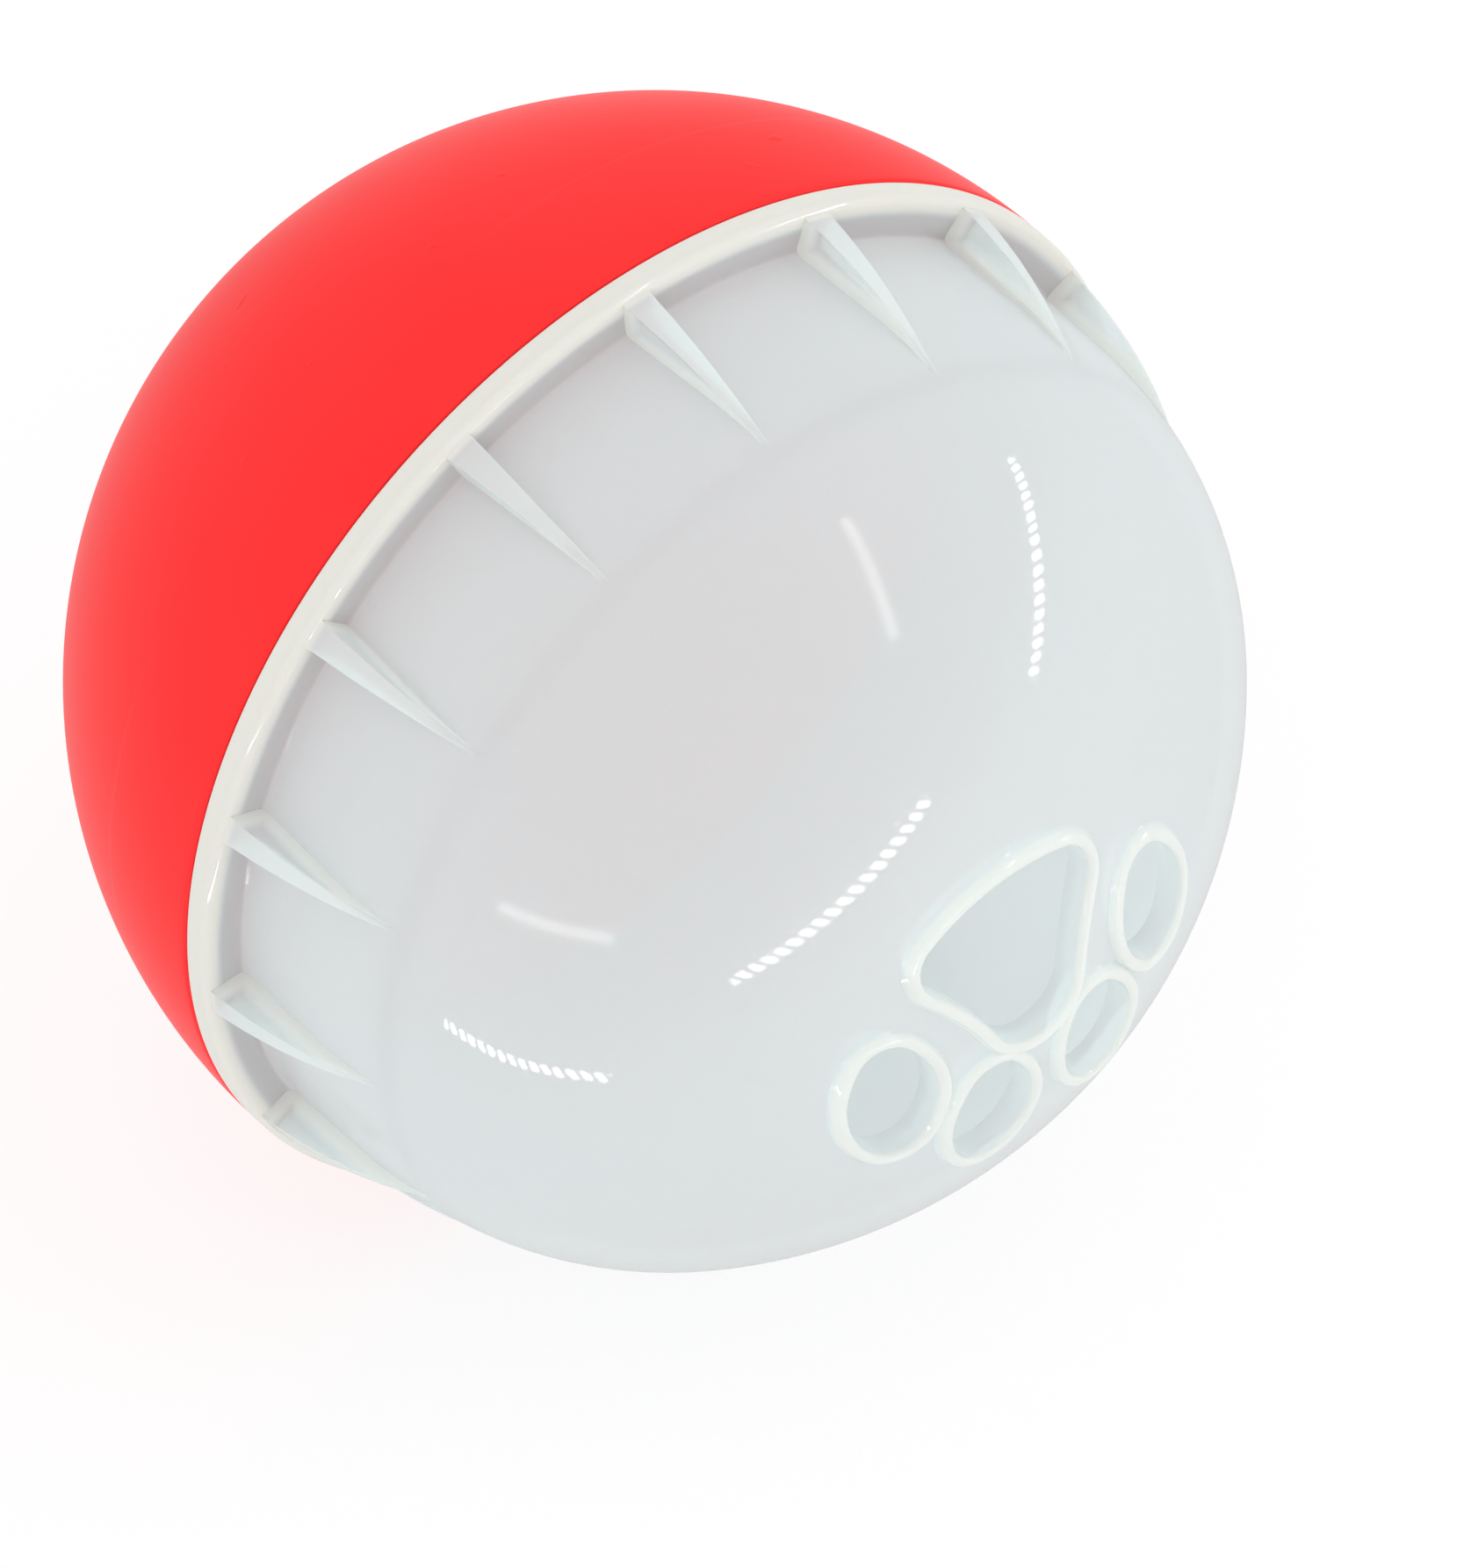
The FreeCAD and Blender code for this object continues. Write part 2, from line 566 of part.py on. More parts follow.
collar_ball = doc.addObject("Part::Sphere", "collar_ball")
collar_ball.setExpression("Radius", "sizes.ball_radius + sizes.collar_rise")
collar_core = doc.addObject("Part::Sphere", "collar_core")
collar_core.setExpression("Radius", "sizes.ball_radius - sizes.clear_wall / 2")
for ball in (collar_ball, collar_core):
    ball.Placement = Placement(Vector(), Rotation(Vector(1, 0, 0), 90))
collar_zone = doc.addObject("Part::Cut", "collar_zone")
collar_zone.Base, collar_zone.Tool = collar_ball, collar_core
paw_collars = doc.addObject("Part::Common", "paw_collars")
paw_collars.Base, paw_collars.Tool = collar_zone, collar_prisms

for paw in (paw_openings, paw_collars):
    paw.Placement = Placement(Vector(), Rotation(TURN_AXIS, worked_out("sizes.paw_turn")))
    paw.setExpression("Placement.Rotation.Angle", "sizes.paw_turn")

collared_half = doc.addObject("Part::MultiFuse", "collared_half")
collared_half.Shapes = [clear_body, trimmed_ribs, paw_collars]
clear_shell = doc.addObject("Part::Cut", "clear_shell")
clear_shell.Base, clear_shell.Tool = collared_half, paw_openings
clear_shell.Label = "clear_shell"

for piece in (red_shell, clear_shell):
    piece.setExpression("Placement.Base.z", BALL)
doc.recompute()

# Every object must be sound, and each piece one whole solid, before anything is written
for item in doc.Objects:
    if "Invalid" in item.State or "Error" in item.State:
        raise ValueError(f"{item.Name} failed: {item.State}")
PIECES = (red_shell, clear_shell)
for piece in PIECES:
    if piece.Shape.isNull() or not piece.Shape.isValid() or len(piece.Shape.Solids) != 1:
        raise ValueError(f"{piece.Label} isn't one sound solid")

os.makedirs("parts", exist_ok=True)
for piece in PIECES:
    piece.Shape.exportStep(f"parts/{piece.Label}.step")
    box = piece.Shape.BoundBox
    print(f"{piece.Label}: {piece.Shape.Volume:.1f} mm3, x {box.XMin:.2f} to {box.XMax:.2f},"
          f" y {box.YMin:.2f} to {box.YMax:.2f}, z {box.ZMin:.2f} to {box.ZMax:.2f}")
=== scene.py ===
"""A hollow treat ball in two moulded halves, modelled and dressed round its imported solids.

All lengths are in metres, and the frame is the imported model's own: the ball rests on the
floor at the origin, +Z is up, and the ball's axis lies level along Y. The milky half, with
its paw of openings, points to -Y and the red half to +Y.
"""

from __future__ import annotations

import logging
import math
from dataclasses import dataclass, replace
from enum import Enum
from functools import cached_property
from typing import Callable, Iterable, Union

import bmesh
import bpy
from mathutils import Matrix, Quaternion, Vector

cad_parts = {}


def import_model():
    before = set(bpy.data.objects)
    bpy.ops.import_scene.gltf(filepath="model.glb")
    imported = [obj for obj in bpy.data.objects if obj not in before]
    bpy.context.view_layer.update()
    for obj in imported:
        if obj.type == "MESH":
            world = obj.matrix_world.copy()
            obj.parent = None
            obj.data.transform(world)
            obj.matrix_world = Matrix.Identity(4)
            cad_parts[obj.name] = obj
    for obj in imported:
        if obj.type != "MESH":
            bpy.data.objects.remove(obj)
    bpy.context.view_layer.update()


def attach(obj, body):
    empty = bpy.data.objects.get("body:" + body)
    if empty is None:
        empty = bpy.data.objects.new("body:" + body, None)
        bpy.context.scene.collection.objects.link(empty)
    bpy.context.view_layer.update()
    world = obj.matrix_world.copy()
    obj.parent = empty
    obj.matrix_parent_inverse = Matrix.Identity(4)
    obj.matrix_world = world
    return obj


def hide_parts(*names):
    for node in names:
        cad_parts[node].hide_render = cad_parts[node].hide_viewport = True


log = logging.getLogger("treat_ball")

MM = 0.001
WELD = 1e-6
BALL_RADIUS = 38.0 * MM
Point = tuple[float, float]
Span = tuple[float, float]
Way = tuple[float, float, float]
Tint = tuple[float, float, float]
Colour = Union[Tint, bpy.types.NodeSocket]


# ---------------------------------------------------------------- shader maths
class Value:
    """A shader socket that Python's operators build on, each with one Math node."""

    def __init__(self, book: NodeBook, socket: bpy.types.NodeSocket) -> None:
        """Wraps a socket of the book's own material.

        Args:
            book: the node tree's builder.
            socket: the output that carries the value.
        """
        self.book = book
        self.socket = socket

    def _with(self, operation: str, *others: Value | float) -> Value:
        """A Math node on this value and up to two more."""
        return self.book.value("ShaderNodeMath", {"operation": operation}, [self, *others])

    def __add__(self, other: Value | float) -> Value:
        """This value plus another."""
        return self._with("ADD", other)

    __radd__ = __add__

    def __mul__(self, other: Value | float) -> Value:
        """This value times another."""
        return self._with("MULTIPLY", other)

    __rmul__ = __mul__

    def __sub__(self, other: Value | float) -> Value:
        """This value less another."""
        return self._with("SUBTRACT", other)

    def __rsub__(self, other: float) -> Value:
        """A number less this value."""
        return self._with("MULTIPLY", -1.0)._with("ADD", other)

    def __truediv__(self, other: Value | float) -> Value:
        """This value divided by another."""
        return self._with("DIVIDE", other)

    def size(self) -> Value:
        """This value without its sign."""
        return self._with("ABSOLUTE")

    def past_whole(self) -> Value:
        """What this value has over the whole number below it."""
        return self._with("FRACT")

    def larger(self, other: Value | float) -> Value:
        """The larger of this value and another."""
        return self._with("MAXIMUM", other)

    def step(self, low: float, high: float) -> Value:
        """A smooth step of this value.

        Args:
            low: where the step starts, at 0.
            high: where it ends, at 1.

        Returns:
            The stepped value.
        """
        settings = {"interpolation_type": "SMOOTHSTEP"}
        return self.book.value("ShaderNodeMapRange", settings, [self, low, high, 0.0, 1.0])


class NodeBook:
    """The node tree of one material, world or lamp, and the one method that adds to it."""

    def __init__(self, tree: bpy.types.NodeTree) -> None:
        """Empties the tree, ready for its nodes."""
        self.tree = tree
        self.tree.nodes.clear()

    def node(self, kind: str, settings: dict[str, object] | None = None,
             inputs: dict[str | int, object] | list[object] | None = None) -> bpy.types.Node:
        """Adds a node.

        Args:
            kind: the node's type name.
            settings: its own settings, which are set before its inputs.
            inputs: the number, colour or socket of each input, in order or by name.

        Returns:
            The new node.
        """
        made = self.tree.nodes.new(kind)
        for name, setting in (settings or {}).items():
            setattr(made, name, setting)
        pairs = enumerate(inputs) if isinstance(inputs, list) else (inputs or {}).items()
        for name, content in pairs:
            if isinstance(content, Value):
                content = content.socket
            if isinstance(content, bpy.types.NodeSocket):
                self.tree.links.new(content, made.inputs[name])
            else:
                made.inputs[name].default_value = content
        return made

    def value(self, kind: str, settings: dict[str, object] | None = None,
              inputs: dict[str | int, object] | list[object] | None = None,
              output: str | int = 0) -> Value:
        """Adds a node and wraps one of its outputs."""
        return Value(self, self.node(kind, settings, inputs).outputs[output])

    def noise(self, where: bpy.types.NodeSocket, scale: float, detail: float = 2.0) -> Value:
        """Noise from 0 to 1 that follows the given coordinates."""
        return self.value("ShaderNodeTexNoise", {"noise_dimensions": "3D"},
                          {"Vector": where, "Scale": scale, "Detail": detail, "Roughness": 0.5})

    def vector(self, operation: str, first: bpy.types.NodeSocket,
               second: bpy.types.NodeSocket | Way) -> bpy.types.NodeSocket:
        """A Vector Math node on two vectors."""
        return self.node("ShaderNodeVectorMath", {"operation": operation},
                         [first, second]).outputs[0]

    def axis(self, vector: bpy.types.NodeSocket, name: str) -> Value:
        """One part of a vector, X, Y or Z."""
        return self.value("ShaderNodeSeparateXYZ", None, [vector], name)

    def tint(self, share: Value, first: Colour, second: Colour) -> bpy.types.NodeSocket:
        """A colour between two others.

        Args:
            share: 0 for the first colour and 1 for the second.
            first: a colour or its socket.
            second: a colour or its socket.

        Returns:
            The mixed colour's socket.
        """
        ends = [(*end, 1.0) if isinstance(end, tuple) else end for end in (first, second)]
        made = self.node("ShaderNodeMix", {"data_type": "RGBA"},
                         {0: share, 6: ends[0], 7: ends[1]})
        return made.outputs[2]

    def shader(self, kind: str, settings: dict[str, object]) -> bpy.types.NodeSocket:
        """One shader of a given type, by the content of its inputs."""
        return self.node(kind, None, settings).outputs[0]

    def blend(self, share: Value, first: bpy.types.NodeSocket,
              second: bpy.types.NodeSocket) -> bpy.types.NodeSocket:
        """A shader between two others: 0 for the first and 1 for the second."""
        return self.node("ShaderNodeMixShader", None, [share, first, second]).outputs[0]


class BallPoint:
    """The shaded point: where it lies on the ball and which way its surface looks."""

    def __init__(self, book: NodeBook) -> None:
        """Adds the nodes that measure it.

        Args:
            book: the node tree's builder.
        """
        found = book.node("ShaderNodeTexCoord")
        self.book = book
        self.place, self.looks = found.outputs["Object"], found.outputs["Normal"]
        self.way = book.vector("SUBTRACT", self.place, (0.0, 0.0, BALL_RADIUS))

    @cached_property
    def along(self) -> Value:
        """Its place along the ball's axis."""
        return self.book.axis(self.place, "Y")

    @cached_property
    def from_middle(self) -> Value:
        """Its distance from the ball's middle."""
        return self.distance((1.0, 1.0, 1.0))

    @cached_property
    def from_axis(self) -> Value:
        """Its distance from the ball's axis."""
        return self.distance((1.0, 0.0, 1.0))

    def distance(self, counted: Way) -> Value:
        """How far it lies from the ball's middle, by the axes that count 1 and not 0."""
        part = self.book.vector("MULTIPLY", self.way, counted)
        return self.book.value("ShaderNodeVectorMath", {"operation": "LENGTH"}, [part], "Value")

    def looks_along(self) -> Value:
        """How far its surface looks along the axis: -1 for straight to the paw's side."""
        return self.book.axis(self.looks, "Y")

    def looks_round(self) -> Value:
        """How far its surface looks round the axis: 1 for straight, as on a rib's side."""
        turned = self.book.vector("CROSS_PRODUCT", self.looks, self.way)
        return self.book.axis(turned, "Y").size() / self.from_axis


# ---------------------------------------------------------------- modelling bench
class Bench:
    """One mesh on the bench, shaped in edit mode by Blender's own operators."""

    def __init__(self, name: str, x: float = 0.0, y: float = 0.0, z: float = 0.0) -> None:
        """Starts a mesh with a single vertex.

        Args:
            name: the mesh's name.
            x: where the vertex lies.
            y: where the vertex lies.
            z: where the vertex lies.
        """
        bpy.ops.object.select_all(action="DESELECT")
        bpy.ops.mesh.primitive_plane_add(size=MM)
        self.piece = bpy.context.object
        self.piece.name = self.piece.data.name = name
        bpy.ops.object.mode_set(mode="EDIT")
        bpy.ops.mesh.select_mode(type="VERT")
        bpy.ops.mesh.select_all(action="SELECT")
        bpy.ops.mesh.merge(type="CENTER")
        bpy.ops.transform.translate(value=(x, y, z))

    def push(self, x: float = 0.0, y: float = 0.0, z: float = 0.0) -> None:
        """Extrudes what is selected by the given way."""
        bpy.ops.mesh.extrude_region_move(TRANSFORM_OT_translate={"value": (x, y, z)})

    def move(self, x: float = 0.0, y: float = 0.0, z: float = 0.0) -> None:
        """Moves what is selected by the given way."""
        bpy.ops.transform.translate(value=(x, y, z))

    def swing(self, degrees: float, steps: int, centre: Way, axis: Way,
              copies: bool = False) -> None:
        """Spins what is selected about an axis.

        Args:
            degrees: how far, where a positive swing about +Y goes from +X to +Z.
            steps: how many steps it takes.
            centre: a point on the axis.
            axis: the axis's direction.
            copies: True to leave separate copies and False to sweep a surface.
        """
        bpy.ops.mesh.spin(steps=steps, angle=math.radians(degrees), center=centre, axis=axis,
                          dupli=copies)

    def turn(self, degrees: float) -> None:
        """Turns what is selected about the ball's axis, from +X towards +Z."""
        bpy.ops.transform.rotate(value=math.radians(degrees), orient_axis="Y",
                                 orient_type="GLOBAL", center_override=(0.0, 0.0, 0.0))

    def take(self, everything: bool = True) -> None:
        """Selects everything, or nothing."""
        bpy.ops.mesh.select_all(action="SELECT" if everything else "DESELECT")

    def take_edges(self, wanted: Callable[[bmesh.types.BMEdge], bool]) -> int:
        """Selects the edges that pass a test, and nothing else.

        Args:
            wanted: the test.

        Returns:
            How many edges passed.
        """
        self.take(False)
        bpy.ops.mesh.select_mode(type="EDGE")
        mesh = bmesh.from_edit_mesh(self.piece.data)
        found = [edge for edge in mesh.edges if wanted(edge)]
        for edge in found:
            edge.select_set(True)
        bmesh.update_edit_mesh(self.piece.data)
        return len(found)

    def take_circle(self, radius: float, height: float) -> int:
        """Selects the edges of one circle about the ball's axis.

        Args:
            radius: the circle's radius.
            height: where it lies along the axis.

        Returns:
            How many edges it has.
        """
        def on_circle(vertex: bmesh.types.BMVert) -> bool:
            """True if a vertex lies on the circle."""
            reach = math.hypot(vertex.co.x, vertex.co.z)
            return abs(reach - radius) < 4e-6 and abs(vertex.co.y - height) < 4e-6

        return self.take_edges(lambda edge: all(on_circle(vertex) for vertex in edge.verts))

    def round_off(self, width: float, segments: int) -> None:
        """Bevels the selected edges into a rounded edge."""
        bpy.ops.mesh.bevel(offset=width, offset_type="OFFSET", segments=segments, profile=0.5,
                           affect="EDGES", clamp_overlap=True)

    def weld(self) -> None:
        """Merges doubled vertices and turns every face outwards."""
        bpy.ops.mesh.select_mode(type="VERT")
        self.take()
        bpy.ops.mesh.remove_doubles(threshold=WELD)
        bpy.ops.mesh.normals_make_consistent(inside=False)

    def done(self) -> bpy.types.Object:
        """Leaves edit mode and hands over the mesh's object."""
        bpy.ops.object.mode_set(mode="OBJECT")
        return self.piece


class TurnedProfile(Bench):
    """A section drawn in the XY plane, point by point, and then turned about the Y axis."""

    def __init__(self, name: str, reach: float, height: float) -> None:
        """Starts the section at a reach from the axis and a height along it."""
        super().__init__(name, reach, height)
        self.at: Point = (reach, height)

    def line_to(self, reach: float, height: float) -> None:
        """Draws a straight line to a point."""
        self.push(reach - self.at[0], height - self.at[1])
        self.at = (reach, height)

    def arc_to(self, centre: Point, end: Point, steps: int) -> None:
        """Draws the shorter arc about a centre to a point.

        Args:
            centre: the arc's centre.
            end: where the arc ends.
            steps: how many edges it has.
        """
        first = math.atan2(self.at[1] - centre[1], self.at[0] - centre[0])
        last = math.atan2(end[1] - centre[1], end[0] - centre[0])
        sweep = (last - first + math.pi) % (2 * math.pi) - math.pi
        self.swing(-math.degrees(sweep), steps, (*centre, 0.0), (0.0, 0.0, 1.0))
        self.at = end

    def turned(self, steps: int) -> None:
        """Turns the section all the way round into a closed skin.

        Args:
            steps: how many faces go round.
        """
        self.take()
        self.swing(360.0, steps, (0.0, 0.0, 0.0), (0.0, 1.0, 0.0))
        self.weld()


class Tooling(Enum):
    """What tools do to a piece, by the name of the Boolean modifier's operation."""

    ADD = "UNION"
    CUT = "DIFFERENCE"


def merge(piece: bpy.types.Object, tools: Iterable[bpy.types.Object],
          tooling: Tooling) -> None:
    """Adds tools to a piece, or cuts them from it, and removes them.

    Args:
        piece: the piece to change.
        tools: closed meshes.
        tooling: what the tools do.
    """
    for tool in tools:
        bpy.ops.object.select_all(action="DESELECT")
        bpy.context.view_layer.objects.active = piece
        piece.select_set(True)
        bpy.ops.object.modifier_add(type="BOOLEAN")
        modifier = piece.modifiers[-1]
        modifier.solver = "EXACT"
        modifier.operation = tooling.value
        modifier.object = tool
        bpy.ops.object.modifier_apply(modifier=modifier.name)
        bpy.data.objects.remove(tool)


def finish_surface(piece: bpy.types.Object, crease: float,
                   material: bpy.types.Material) -> None:
    """Clears a piece of slivers, lifts it over the floor, shades it smooth and dresses it.

    Args:
        piece: the piece, drawn about the middle of the ball.
        crease: edges sharper than this many degrees stay crisp.
        material: the piece's material.
    """
    bpy.ops.object.select_all(action="DESELECT")
    bpy.context.view_layer.objects.active = piece
    piece.select_set(True)
    bpy.ops.object.mode_set(mode="EDIT")
    bpy.ops.mesh.select_all(action="SELECT")
    bpy.ops.mesh.dissolve_degenerate(threshold=WELD)
    bpy.ops.transform.translate(value=(0.0, 0.0, BALL_RADIUS))
    bpy.ops.object.mode_set(mode="OBJECT")
    bpy.ops.object.shade_smooth_by_angle(angle=math.radians(crease))
    piece.data.materials.clear()
    piece.data.materials.append(material)


# ---------------------------------------------------------------- finishes
@dataclass(frozen=True)
class RedPlastic:
    """Opaque bright red moulded plastic with a soft sheen, painted shade as a darker red on its
    inner face, and a sink line: a small step in the bump with painted shade along it.
    """

    bright: Tint = (0.96, 0.034, 0.035)
    deep: Tint = (0.93, 0.025, 0.026)
    # Painted shade: the inner face of the dome is a darker red.
    inner: Tint = (0.78, 0.012, 0.014)
    # Painted shade: the dark red of the sink line.
    line: Tint = (0.70, 0.004, 0.005)
    roughness: float = 0.42
    gloss: float = 0.09
    sheen: Tint = (1.0, 0.5, 0.5)
    sink_height: float = 9.3 * MM
    sink_width: float = 0.45 * MM
    sink_waver: float = 1.2 * MM
    # How strong the painted shade along the sink line is.
    sink_shade_strength: float = 0.22
    # Where the painted shade inside the dome starts and ends, by distance from the middle.
    skin: Span = (36.6 * MM, 37.2 * MM)

    def material(self) -> bpy.types.Material:
        """Builds the material.

        Returns:
            The material.
        """
        made = bpy.data.materials.new("red_plastic")
        made.use_nodes = True
        book = NodeBook(made.node_tree)
        point = BallPoint(book)
        clouds = book.noise(point.place, 34.0, 2.0)
        specks = book.noise(point.place, 420.0, 1.0).step(0.74, 0.80)
        grain = book.noise(point.place, 2600.0, 1.0)
        waver = (book.noise(point.place, 50.0, 1.0) - 0.5) * self.sink_waver
        past = point.along - self.sink_height + waver
        ledge = past.step(-0.6 * self.sink_width, 0.6 * self.sink_width)
        # Painted shade along the sink line, in the colour as well as in the bump.
        sink_shade_share = (past.size() / self.sink_width).step(1.0, 0.0) * clouds.step(0.2, 0.6)
        outside = book.tint(clouds.step(0.2, 0.8), self.bright, self.deep)
        sink_shaded = book.tint(sink_shade_share * self.sink_shade_strength, outside, self.line)
        heights = grain * 0.012 + clouds * 0.05 + specks * 0.12 - ledge * 0.12
        bump = book.node("ShaderNodeBump", None,
                         {"Strength": 0.5, "Distance": 0.0006, "Height": heights})
        skin = book.shader("ShaderNodeBsdfPrincipled", {
            # Painted shade inside the dome: points nearer the middle take the darker inner red.
            "Base Color": book.tint(point.from_middle.step(*self.skin), self.inner, sink_shaded),
            "Roughness": clouds * 0.06 + specks * 0.1 + (self.roughness - 0.03),
            "Normal": bump.outputs[0],
            "Specular IOR Level": self.gloss,
            "Specular Tint": (*self.sheen, 1.0),
        })
        book.node("ShaderNodeOutputMaterial", None, [skin])
        return made


@dataclass(frozen=True)
class MilkyMarks:
    """Where the milky wall is thicker or thinner, and where it takes painted shade, as masks from
    0 to 1.

    Attributes:
        thick: the ring, the collars, and the crests and feet of the ribs.
        step: the step behind the ring, which takes painted shade.
        web: the sides of the ribs above their feet, which are clearer and take painted shade.
        inside: the inner face of the dome.
    """

    thick: Value
    step: Value
    web: Value
    inside: Value


@dataclass(frozen=True)
class MilkyPlastic:
    """Translucent milky moulded plastic: glossy, lit from both sides and faintly clear.

    Where it is thick it is whiter and less clear. The step behind the ring and the sides of the
    ribs take painted shade, a grey tint on the surface and in the light that it lets through. Each
    Span says where a mark starts to show and where it is full, as a distance from the ball's
    middle or axis, or as a place along the axis.
    """

    cool: Tint = (0.878, 0.967, 0.977)
    warm: Tint = (0.890, 0.968, 0.970)
    thick: Tint = (0.845, 0.86, 0.80)
    # Painted shade on the step behind the ring and on the sides of the ribs.
    step_shade: Tint = (0.74, 0.83, 0.84)
    roughness: float = 0.045
    through_light: float = 0.56
    thick_light: float = 0.28
    inside_light: float = 0.78
    clear_share: float = 0.32
    thick_share: float = 0.10
    web_share: float = 0.60
    # How much of the painted shade the sides of the ribs take.
    web_shade: float = 0.60
    foot_milk: float = 0.60
    crest_milk: float = 0.20
    collar_milk: float = 0.65
    ring_along: Span = (-2.6 * MM, -2.0 * MM)
    ring_reach: Span = (36.5 * MM, 37.3 * MM)
    step_facing: Span = (-0.6, -0.95)
    side_facing: Span = (0.5, 0.9)
    recess_start: Span = (-0.5 * MM, -1.0 * MM)
    recess_end: Span = (-15.6 * MM, -14.0 * MM)
    foot_reach: Span = (36.5 * MM, 35.5 * MM)
    foot_along: Span = (-3.6 * MM, -2.6 * MM)
    crest_reach: Span = (35.1 * MM, 35.7 * MM)
    collar_rise: Span = (38.05 * MM, 38.3 * MM)
    inner_face: Span = (37.4 * MM, 36.9 * MM)
    inner_reach: Span = (34.3 * MM, 33.7 * MM)

    def material(self) -> bpy.types.Material:
        """Builds the material.

        Returns:
            The material.
        """
        made = bpy.data.materials.new("milky_plastic")
        made.use_nodes = True
        book = NodeBook(made.node_tree)
        point = BallPoint(book)
        clouds = book.noise(point.place, 40.0, 1.0)
        marks = self.marks(point)
        colour: Colour = self.cool
        glow = self.glow(book, self.cool)
        # The last tint is painted shade: grey on the step behind the ring and on the ribs' sides.
        for share, tint in ((clouds.step(0.1, 0.9), self.warm), (marks.thick, self.thick),
                            (marks.step.larger(marks.web * self.web_shade), self.step_shade)):
            colour = book.tint(share, colour, tint)
            glow = book.blend(share, glow, self.glow(book, tint))
        bump = book.node("ShaderNodeBump", None,
                         {"Strength": 0.10, "Distance": 0.0003, "Height": clouds})
        skin = book.shader("ShaderNodeBsdfPrincipled", {
            "Base Color": colour,
            "Roughness": clouds * 0.01 + (self.roughness - 0.005),
            "Normal": bump.outputs[0],
            "IOR": 1.45,
        })
        lit_share = (marks.thick * (self.thick_light - self.through_light)
                     + marks.inside * (self.inside_light - self.through_light)
                     + self.through_light)
        milk = book.blend(lit_share, skin, glow)
        clear = book.shader("ShaderNodeBsdfTransparent", {"Color": (1.0, 1.0, 1.0, 1.0)})
        edge_on = book.value("ShaderNodeLayerWeight", None, {"Blend": 0.5}, "Facing")
        open_share = (marks.thick * (self.thick_share - self.clear_share)
                      + marks.web * (self.web_share - self.clear_share) + self.clear_share)
        mixed = book.blend((1.0 - edge_on) * open_share, milk, clear)
        book.node("ShaderNodeOutputMaterial", None, [mixed])
        return made

    def glow(self, book: NodeBook, tint: Tint) -> bpy.types.NodeSocket:
        """The light that the wall lets through where it has one tint."""
        return book.shader("ShaderNodeBsdfTranslucent", {"Color": (*tint, 1.0)})

    def marks(self, point: BallPoint) -> MilkyMarks:
        """Finds where the wall is thicker or thinner, and where it takes painted shade.

        Args:
            point: the shaded point.

        Returns:
            The masks.
        """
        at_ring = point.along.step(*self.ring_along)
        band = point.from_axis.step(*self.ring_reach)
        in_recess = point.along.step(*self.recess_end) * point.along.step(*self.recess_start)
        side = point.looks_round().step(*self.side_facing) * in_recess
        foot = side * point.from_axis.step(*self.foot_reach).larger(
            point.along.step(*self.foot_along))
        crest = point.from_axis.step(*self.crest_reach) * (1.0 - at_ring) * (1.0 - side)
        collar = point.from_middle.step(*self.collar_rise)
        thick = (band * at_ring).larger(foot * self.foot_milk).larger(
            crest * self.crest_milk).larger(collar * self.collar_milk)
        # Painted shade goes on the step behind the ring, where its surface looks to the paw's
        # side.
        step = point.looks_along().step(*self.step_facing) * at_ring * (1.0 - band)
        inside = (point.from_middle.step(*self.inner_face)
                  * point.from_axis.step(*self.inner_reach))
        return MilkyMarks(thick, step, side * (1.0 - foot), inside)


# ---------------------------------------------------------------- sizes of the ball
@dataclass(frozen=True)
class BallSizes:
    """The sizes that both halves share."""

    radius: float = BALL_RADIUS
    seat_width: float = 3.2 * MM
    socket_gap: float = 0.9 * MM
    lock_count: int = 3
    lock_turn: float = 57.7
    steps: int = 256

    @property
    def spigot_radius(self) -> float:
        """The outside of the spigot."""
        return self.radius - self.seat_width

    @property
    def socket_radius(self) -> float:
        """The bore of the socket, which clears the lugs."""
        return self.spigot_radius + self.socket_gap

    def on_sphere(self, reach: float, wall: float = 0.0) -> float:
        """How far a sphere reaches along the axis.

        Args:
            reach: the distance from the axis.
            wall: how far the sphere lies under the ball's surface.

        Returns:
            The height over the middle of the ball.
        """
        return math.sqrt((self.radius - wall)**2 - reach**2)


def block_about_axis(name: str, inner: float, outer: float, low: float, high: float,
                     turn: float, spread: float, count: int, edge: float) -> bpy.types.Object:
    """Curved blocks, evenly spaced about the ball's axis.

    Args:
        name: the mesh's name.
        inner: the inner radius.
        outer: the outer radius.
        low: the lower height along the axis.
        high: the upper height along the axis.
        turn: where the middle of the first block lies, in degrees.
        spread: how many degrees each block spans.
        count: how many blocks there are.
        edge: how far the edges are rounded.

    Returns:
        The blocks as one object.
    """
    bench = Bench(name, inner, low)
    bench.push(x=outer - inner)
    bench.take()
    bench.push(y=high - low)
    bench.take()
    bench.turn(turn - spread / 2)
    bench.swing(spread, max(3, round(spread)), (0.0, 0.0, 0.0), (0.0, 1.0, 0.0))
    bench.weld()
    bench.take_edges(lambda item: len(item.link_faces) == 2
                     and item.calc_face_angle() > math.radians(60))
    bench.round_off(edge, 2)
    bench.weld()
    if count > 1:
        bench.take()
        bench.swing(360.0 * (count - 1) / count, count - 1, (0.0, 0.0, 0.0), (0.0, 1.0, 0.0),
                    copies=True)
    return bench.done()


